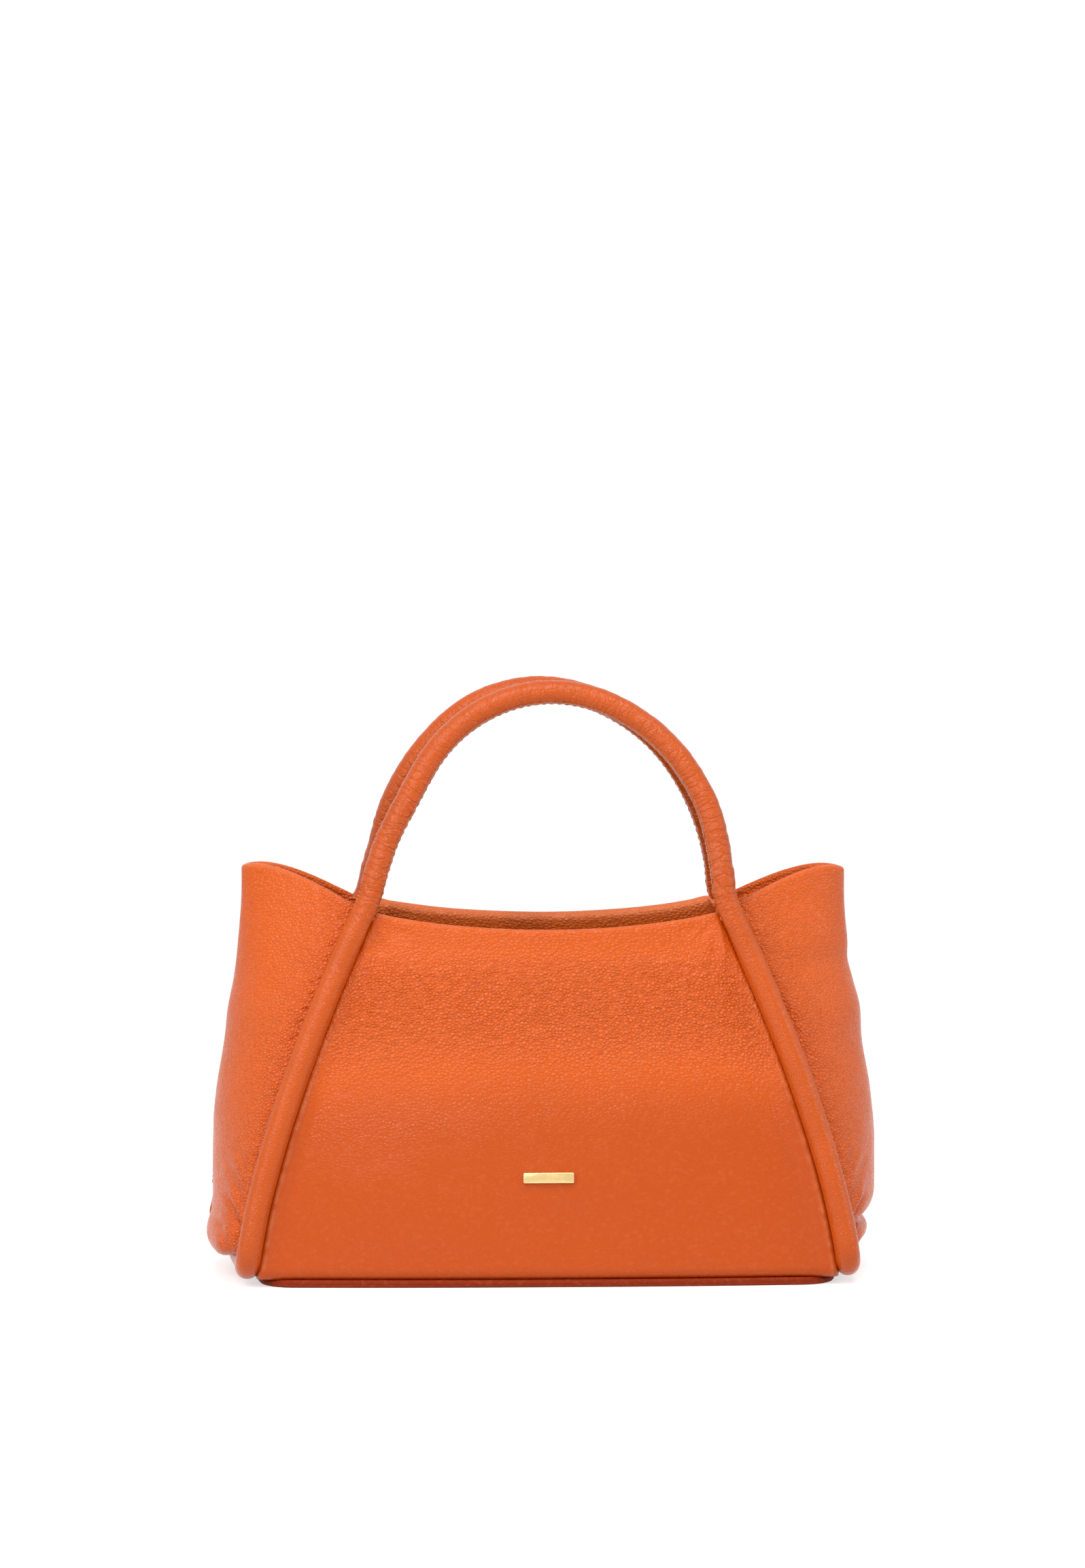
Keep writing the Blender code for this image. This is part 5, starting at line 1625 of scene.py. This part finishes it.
class BAG_OT_strap_rings(bpy.types.Operator):
    """Make the strap rings and their leather tabs"""
    bl_idname = "bag.strap_rings"
    bl_label = "Strap rings"

    def execute(self, context):
        sizes = context.scene.bag_fittings
        for name, side in SIDES:
            place = Matrix.Translation((side * sizes.ring_bar_half_width, 0.0, sizes.ring_height))
            turn = np.linspace(0.0, math.pi, 60)
            arc = stack(-side * sizes.ring_reach * np.sin(turn), 0.0, sizes.ring_half_height * np.cos(turn))
            bar = stack(0.0, 0.0, np.linspace(-sizes.ring_half_height, sizes.ring_half_height, 40)[1:-1])
            path, _ = even_path(np.concatenate([arc, bar, arc[:1]]), 0.4 * MM)
            path = smooth_along(path[:-1], 3, True)
            ring = wire_piece(name + "_ring_wire", path, sizes.ring_wire, 20, ACROSS, True)
            settle(ring, place)
            dress(ring, "gold_plating", name + "_ring", nodes=(name + "_strap_ring",))
            self.make_tab(name, side, sizes, place)
        return {"FINISHED"}

    @staticmethod
    def make_tab(name, side, sizes, place):
        """A looped leather tab with a bore for its ring."""
        bore = sizes.ring_wire + 0.3 * MM
        radius = bore + 1.1 * MM
        start = math.asin(0.55 * MM / radius)
        turns = np.linspace(start, 2.0 * math.pi - start, 40)
        tail = 6.3 * MM
        lips = [(tail, -0.6 * MM), (tail + 0.1 * MM, -0.1 * MM), (tail - 0.1 * MM, 0.0),
                (tail + 0.1 * MM, 0.1 * MM), (tail, 0.6 * MM)]
        loop = [(radius * math.cos(turn), radius * math.sin(turn)) for turn in turns]
        outline = [(side * x, y) for x, y in lips + loop]
        tab = plate_piece(name + "_tab_leather", outline, -5.5 * MM, 11.0 * MM, 0.2 * MM)
        cut_out(tab, plate_piece("tab_bore", disc_outline(bore, 40), -8.0 * MM, 16.0 * MM))
        settle(tab, place)
        points = points_of(tab)
        from_middle = np.abs(points[:, 2] - sizes.ring_height)
        edge = np.clip((from_middle - 5.0 * MM) / (0.5 * MM), 0.0, 1.0)
        mark_leather(tab, np.full(len(points), 0.4), 0.5 * edge)
        shade_by_angle(tab)
        dress(tab, "pebbled_leather", nodes=(name + "_ring_tab",))
        places = np.array([(side * 4.6 * MM, face * 0.62 * MM, z * MM) for face in (-1.0, 1.0)
                           for z in (-3.6, -1.2, 1.2, 3.6)])
        outs = np.array([(0.0, 1.0 if point[1] > 0.0 else -1.0, 0.0) for point in places])
        along = np.broadcast_to(UP, places.shape)
        stitches = repeated(name + "_tab_stitches", stitch_seed(), frames(places, along, outs))
        settle(stitches, place)
        dress(stitches, "sewing_thread")


def pocket_sheet(name, width, height, lift):
    """A pocket of doubled cloth with soft lower corners and a turned top edge, bulging a little."""
    columns, rows = 90, 56

    def place(across, up):
        x = (across - 0.5) * width
        y = (up - 1.0) * height
        low = np.clip(-y / height, 0.0, 1.0)
        drawn = 1.0 - 0.035 * smooth_share((low - 0.90) / 0.10)
        turned = 0.35 * MM * (1.0 - eased(-y, 9.0, 1.2))
        inner = np.minimum(0.5 * width - np.abs(x), y + height)
        bulge = lift * eased(inner, 3.0, 30.0)
        points = stack(x * drawn, y, 0.0)
        ripple = noise_at(points * np.array((1.0, 0.6, 1.0)), 22.0 * MM, 83.0) * 0.28 * MM
        channel = -0.12 * MM * bell(inner, 3.0, 0.7)
        ripple = ripple * eased(inner, 1.0, 8.0)
        return stack(points[:, 0], points[:, 1], 0.55 * MM + turned + bulge + ripple + channel)

    piece = sheet_piece(name, columns, rows, place)
    scale_pattern(piece, width, height)
    return piece


class BAG_OT_pockets(bpy.types.Operator):
    """Make the slip pocket on the front and the zip pocket on the back, with their stitches"""
    bl_idname = "bag.pockets"
    bl_label = "Pockets"

    def execute(self, context):
        shape = BodyShape()
        sizes = context.scene.bag_fittings
        height = sizes.pocket_height
        pitch = 2.9 * MM
        for name, face, width in (("slip", -1.0, sizes.slip_pocket_width),
                                  ("zip", 1.0, sizes.zip_pocket_width)):
            matrix, _ = pocket_matrix(shape, face, width)
            piece = pocket_sheet(name + "_pocket_cloth", width, height, 0.35 * MM)
            thicken(piece, 0.5 * MM)
            if name == "zip":
                slot = soft_box(sizes.zip_length, sizes.zip_slot_width, 1.2 * MM, 0.0, -sizes.zip_drop)
                cut_out(piece, plate_piece("zip_slot", slot, -5.0 * MM, 12.0 * MM))
            settle(piece, matrix)
            dress(piece, "lining_cloth", nodes=(name + "_pocket",))
            half = 0.5 * width - 3.0 * MM
            low = 3.0 * MM - height
            sides = [(-half, -1.0 * MM), (-half, low), (half, low), (half, -1.0 * MM)]
            seam = flat_stitches(name + "_pocket_seam", sides, pitch, 0.62 * MM, matrix)
            dress(seam, "sewing_thread")
            if name == "slip":
                corners = [(-half, -8.0 * MM), (half, -8.0 * MM)]
                hem = flat_stitches("slip_pocket_hem", corners, pitch, 1.2 * MM, matrix)
            else:
                wide, tall = 0.5 * sizes.zip_length + 2.0 * MM, 0.5 * sizes.zip_slot_width + 2.0 * MM
                corners = [(-wide, tall - sizes.zip_drop), (wide, tall - sizes.zip_drop),
                           (wide, -tall - sizes.zip_drop), (-wide, -tall - sizes.zip_drop)]
                hem = flat_stitches("zip_slot_seam", corners, pitch, 1.15 * MM, matrix, closed=True)
            dress(hem, "sewing_thread")
        return {"FINISHED"}


class BAG_OT_zip(bpy.types.Operator):
    """Make the zip: tape, teeth, stops, slider and pull"""
    bl_idname = "bag.zip"
    bl_label = "Zip"

    def execute(self, context):
        sizes = context.scene.bag_fittings
        matrix, slope = pocket_matrix(BodyShape(), 1.0, sizes.zip_pocket_width)
        matrix = matrix @ Matrix.Translation((0.0, -sizes.zip_drop, 0.0))
        self.make_tape(sizes, matrix)
        self.make_teeth(sizes, matrix)
        self.make_slider(sizes, matrix, slope)
        return {"FINISHED"}

    @staticmethod
    def make_tape(sizes, matrix):
        """The woven tape, with a ridge under each row of teeth."""
        width = sizes.zip_length - 0.8 * MM
        height = sizes.zip_slot_width - 0.8 * MM

        def place(across, up):
            y = (up - 0.5) * height
            ridge = 0.25 * MM * bell(np.abs(y), 1.7, 0.5)
            split = 0.25 * MM * np.exp(-(y / (0.35 * MM)) ** 2)
            return stack((across - 0.5) * width, y, 0.6 * MM + ridge - split)

        tape = sheet_piece("zip_tape_weave", 120, 28, place)
        scale_pattern(tape, width, height)
        thicken(tape, 0.5 * MM)
        settle(tape, matrix)
        dress(tape, "zip_tape_cloth", nodes=("zip_tape",))

    @staticmethod
    def make_teeth(sizes, matrix):
        """Two rows of teeth and the stops at their ends."""
        run = sizes.zip_length - 7.2 * MM
        count = int(run / (1.5 * MM))
        tooth = ((-0.45, 0.0), (-0.45, -1.9), (0.45, -1.9), (0.45, 0.0), (0.3, 0.5), (-0.3, 0.5))
        seed = plate_piece("tooth_seed", in_metres(tooth), 1.25 * MM, 1.2 * MM)
        shift = [Matrix.Translation((between(-0.5 * run, 0.5 * run, (step + 0.5) / count), 0.0, 0.0))
                 for step in range(count)]
        half_step = Matrix.Translation((0.5 * run / count, 0.0, 0.0))
        over = Matrix.Rotation(math.pi, 4, "Z")
        rows = shift + [place @ half_step @ over for place in shift[:-1]]
        teeth = repeated("zip_teeth", seed, rows)
        shade_by_angle(teeth)
        settle(teeth, matrix)
        dress(teeth, "gold_plating", nodes=("zip_chain",))
        for name, side in SIDES:
            outline = soft_box(3.0 * MM, 4.0 * MM, 0.6 * MM, side * (0.5 * run + 1.8 * MM), 0.0)
            stop = plate_piece(name + "_stop_clamp", outline, 1.2 * MM, 1.7 * MM, 0.25 * MM)
            shade_by_angle(stop)
            settle(stop, matrix)
            dress(stop, "gold_plating", nodes=(name + "_zip_stop",))

    @staticmethod
    def make_slider(sizes, matrix, slope):
        """The slider with its arch, and the pull that hangs in it."""
        start = 0.5 * sizes.zip_length - 8.4 * MM
        seat = matrix @ Matrix.Translation((start, 0.0, 0.0))
        shield = ((4.5, -1.6), (4.5, 1.6), (4.1, 2.6), (2.6, 3.6), (0.6, 4.0), (-1.6, 3.7), (-3.2, 2.9),
                  (-4.3, 2.7), (-4.5, 2.2), (-4.5, -2.2), (-4.3, -2.7), (-3.2, -2.9), (-1.6, -3.7),
                  (0.6, -4.0), (2.6, -3.6), (4.1, -2.6))
        body = plate_piece("slider_shell", in_metres(shield), 1.5 * MM, 2.9 * MM, 0.3 * MM)
        cut_out(body, plate_piece("slider_channel", soft_box(18.0 * MM, 4.6 * MM, 0.2 * MM), 0.0, 3.2 * MM))
        shade_by_angle(body)
        settle(body, seat)
        dress(body, "gold_plating", "slider", nodes=("zip_slider",))
        turn = np.linspace(0.0, math.pi, 40)
        arch = stack(0.0, 2.4 * MM * np.cos(turn), 4.3 * MM + 3.0 * MM * np.sin(turn) ** 0.5)
        path, _ = even_path(arch, 0.35 * MM)
        bail = wire_piece("slider_arch", path, 0.6 * MM, 14, np.array((1.0, 0.0, 0.0)), False)
        settle(bail, seat)
        dress(bail, "gold_plating", "slider")
        blade = in_metres(((2.0, 0.55), (2.4, 0.2), (2.5, -4.6), (1.9, -6.4), (1.7, -8.0), (2.3, -18.5),
                           (2.3, -20.2), (1.6, -21.2), (0.8, -21.45)))
        blade += [(-x, y) for x, y in reversed(blade)]
        pull = plate_piece("pull_blade", blade, -0.6 * MM, 1.2 * MM, 0.3 * MM)
        eye = soft_box(2.6 * MM, 4.0 * MM, 1.0 * MM, 0.0, -2.55 * MM)
        cut_out(pull, plate_piece("pull_eye", eye, -3.0 * MM, 6.0 * MM))
        shade_by_angle(pull)
        settle(pull, seat @ Matrix.Translation((0.0, 0.0, 5.7 * MM)) @ Matrix.Rotation(-slope, 4, "X"))
        dress(pull, "gold_plating", "pull", nodes=("zip_pull",))


# Studio

# The lamps, as name, place, width and height, and tint
LAMPS = (("key", (-1.35, -1.25, 1.8), (0.9, 0.7), (1.0, 0.99, 0.97)),
         ("fill", (-0.25, -2.2, 1.15), (0.36, 0.26), (0.98, 0.99, 1.0)),
         ("top", (0.1, -0.62, 1.5), (1.2, 0.5), (1.0, 1.0, 1.0)),
         ("side", (2.1, -0.7, 0.8), (0.9, 0.9), (0.98, 0.99, 1.0)),
         ("strip", (-1.4, -1.35, 0.7), (0.12, 1.2), (1.0, 1.0, 1.0)))
LAMP_AIM = (0.0, 0.0, 0.12)

# The floor, in metres: it lies flat as far as FLOOR_FLAT_END and then bends up into the backdrop
FLOOR_WIDTH = 7.0
FLOOR_FRONT = -1.6
FLOOR_RUN = 5.0
FLOOR_FLAT_END = 1.8
FLOOR_BEND = 0.6


def area_lamp(name, place, size, watts, tint):
    """A soft lamp that looks at the bag."""
    bpy.ops.object.light_add(type="AREA", location=place)
    lamp = bpy.context.object
    lamp.name = name
    lamp.data.shape = "RECTANGLE"
    lamp.data.size, lamp.data.size_y = size
    lamp.data.energy = watts
    lamp.data.color = tint
    lamp.rotation_euler = (Vector(LAMP_AIM) - Vector(place)).to_track_quat("-Z", "Y").to_euler()


def seen_share(tree):
    """1 where the camera, a reflection or glass sees the surface, and 0 for its light on the object."""
    rays = node(tree, "ShaderNodeLightPath").outputs
    mirrored = maths(tree, "MAXIMUM", rays["Is Glossy Ray"], rays["Is Transmission Ray"])
    return maths(tree, "MAXIMUM", rays["Is Camera Ray"], mirrored)


def floor_material():
    """Plain pale floor that the camera sees as white where nothing shades it."""
    sizes = bpy.context.scene.bag_studio
    material, tree, shader, place = new_material("pale_floor")
    speck = effect(tree, "slow_tone", {"Vector": place["Object"], "Patch": 0.4})
    pale = tuple(sizes.floor_colour)
    base = mix_colour(tree, speck["Tone"], pale, toned(pale, 0.985))
    tree.links.new(base, shader.inputs["Base Color"])
    shader.inputs["Roughness"].default_value = 0.9
    shader.inputs["Specular IOR Level"].default_value = 0.1
    glow = node(tree, "ShaderNodeEmission", {"Color": (1.0, 1.0, 1.0, 1.0), "Strength": sizes.floor_glow})
    both = node(tree, "ShaderNodeAddShader", {0: shader.outputs[0], 1: glow.outputs[0]})
    pick = node(tree, "ShaderNodeMixShader", {0: seen_share(tree), 1: shader.outputs[0], 2: both.outputs[0]})
    output = [item for item in tree.nodes if item.type == "OUTPUT_MATERIAL"][0]
    tree.links.new(pick.outputs[0], output.inputs["Surface"])
    return material


class BAG_OT_studio(bpy.types.Operator):
    """Set up the floor, backdrop, lights and camera"""
    bl_idname = "bag.studio"
    bl_label = "Studio"

    def execute(self, context):
        sizes = context.scene.bag_studio

        def place(across, along):
            run = along * FLOOR_RUN + FLOOR_FRONT
            bend = np.clip(run - FLOOR_FLAT_END, 0.0, FLOOR_BEND)
            climb = np.clip(run - FLOOR_FLAT_END - FLOOR_BEND, 0.0, None)
            turn = bend / FLOOR_BEND * 0.5 * math.pi
            y = np.minimum(run, FLOOR_FLAT_END) + FLOOR_BEND * np.sin(turn)
            z = FLOOR_BEND * (1.0 - np.cos(turn)) + climb
            return stack((across - 0.5) * FLOOR_WIDTH, y, z)

        floor = sheet_piece("floor_sweep", 8, 100, place)
        floor.data.materials.append(floor_material())
        for name, spot, size, tint in LAMPS:
            area_lamp(name + "_lamp", spot, size, getattr(sizes, name + "_power"), tint)
        world = context.scene.world or bpy.data.worlds.new("studio_air")
        context.scene.world = world
        world.use_nodes = True
        air = world.node_tree.nodes["Background"]
        air.inputs["Color"].default_value = (1.0, 1.0, 1.0, 1.0)
        tree = world.node_tree
        strength = fused(tree, seen_share(tree), 1.0 - sizes.air_strength, sizes.air_strength)
        tree.links.new(strength, air.inputs["Strength"])
        swing, lift = sizes.camera_turn, sizes.camera_lift
        back = Vector((math.sin(swing) * math.cos(lift), -math.cos(swing) * math.cos(lift), math.sin(lift)))
        centre = Vector((0.0, 0.0, sizes.camera_centre_height))
        bpy.ops.object.camera_add(location=centre + back * sizes.camera_distance)
        camera = context.object
        camera.name = "photo_camera"
        camera.rotation_euler = (-back).to_track_quat("-Z", "Y").to_euler()
        camera.data.sensor_fit = "AUTO"
        camera.data.sensor_width = 36.0
        camera.data.lens = sizes.lens
        camera.data.shift_x = sizes.shift_x
        camera.data.shift_y = sizes.shift_y
        context.scene.camera = camera
        context.scene.view_settings.view_transform = "Standard"
        return {"FINISHED"}


class BAG_PT_steps(bpy.types.Panel):
    """The steps of the bag, in order"""
    bl_idname = "BAG_PT_steps"
    bl_label = "Shopper bag"
    bl_space_type = "VIEW_3D"
    bl_region_type = "UI"
    bl_category = "Bag"

    def draw(self, context):
        for step in STEPS:
            self.layout.operator(step.bl_idname)
        for name, group in GROUPS.items():
            box = self.layout.box()
            for key in group.__annotations__:
                box.prop(getattr(context.scene, name), key)


GROUPS = {"bag_body": BagBodySizes, "bag_tubes": BagTubeSizes, "bag_fittings": BagFittingSizes,
          "bag_finish": BagFinish, "bag_studio": StudioSizes}
STEPS = (BAG_OT_long_walls, BAG_OT_side_walls, BAG_OT_base, BAG_OT_long_tubes, BAG_OT_base_tubes,
         BAG_OT_facing, BAG_OT_lining, BAG_OT_name_bar, BAG_OT_snap, BAG_OT_strap_rings, BAG_OT_pockets,
         BAG_OT_zip, BAG_OT_studio)


def register():
    for item in (*GROUPS.values(), *STEPS, BAG_PT_steps):
        bpy.utils.register_class(item)
    for name, group in GROUPS.items():
        setattr(bpy.types.Scene, name, PointerProperty(type=group))


def unregister():
    for name in GROUPS:
        delattr(bpy.types.Scene, name)
    for item in (BAG_PT_steps, *reversed(STEPS), *reversed(GROUPS.values())):
        bpy.utils.unregister_class(item)


def main():
    register()
    for step in STEPS:
        family, action = step.bl_idname.split(".")
        getattr(getattr(bpy.ops, family), action)()


if __name__ == "__main__":
    main()
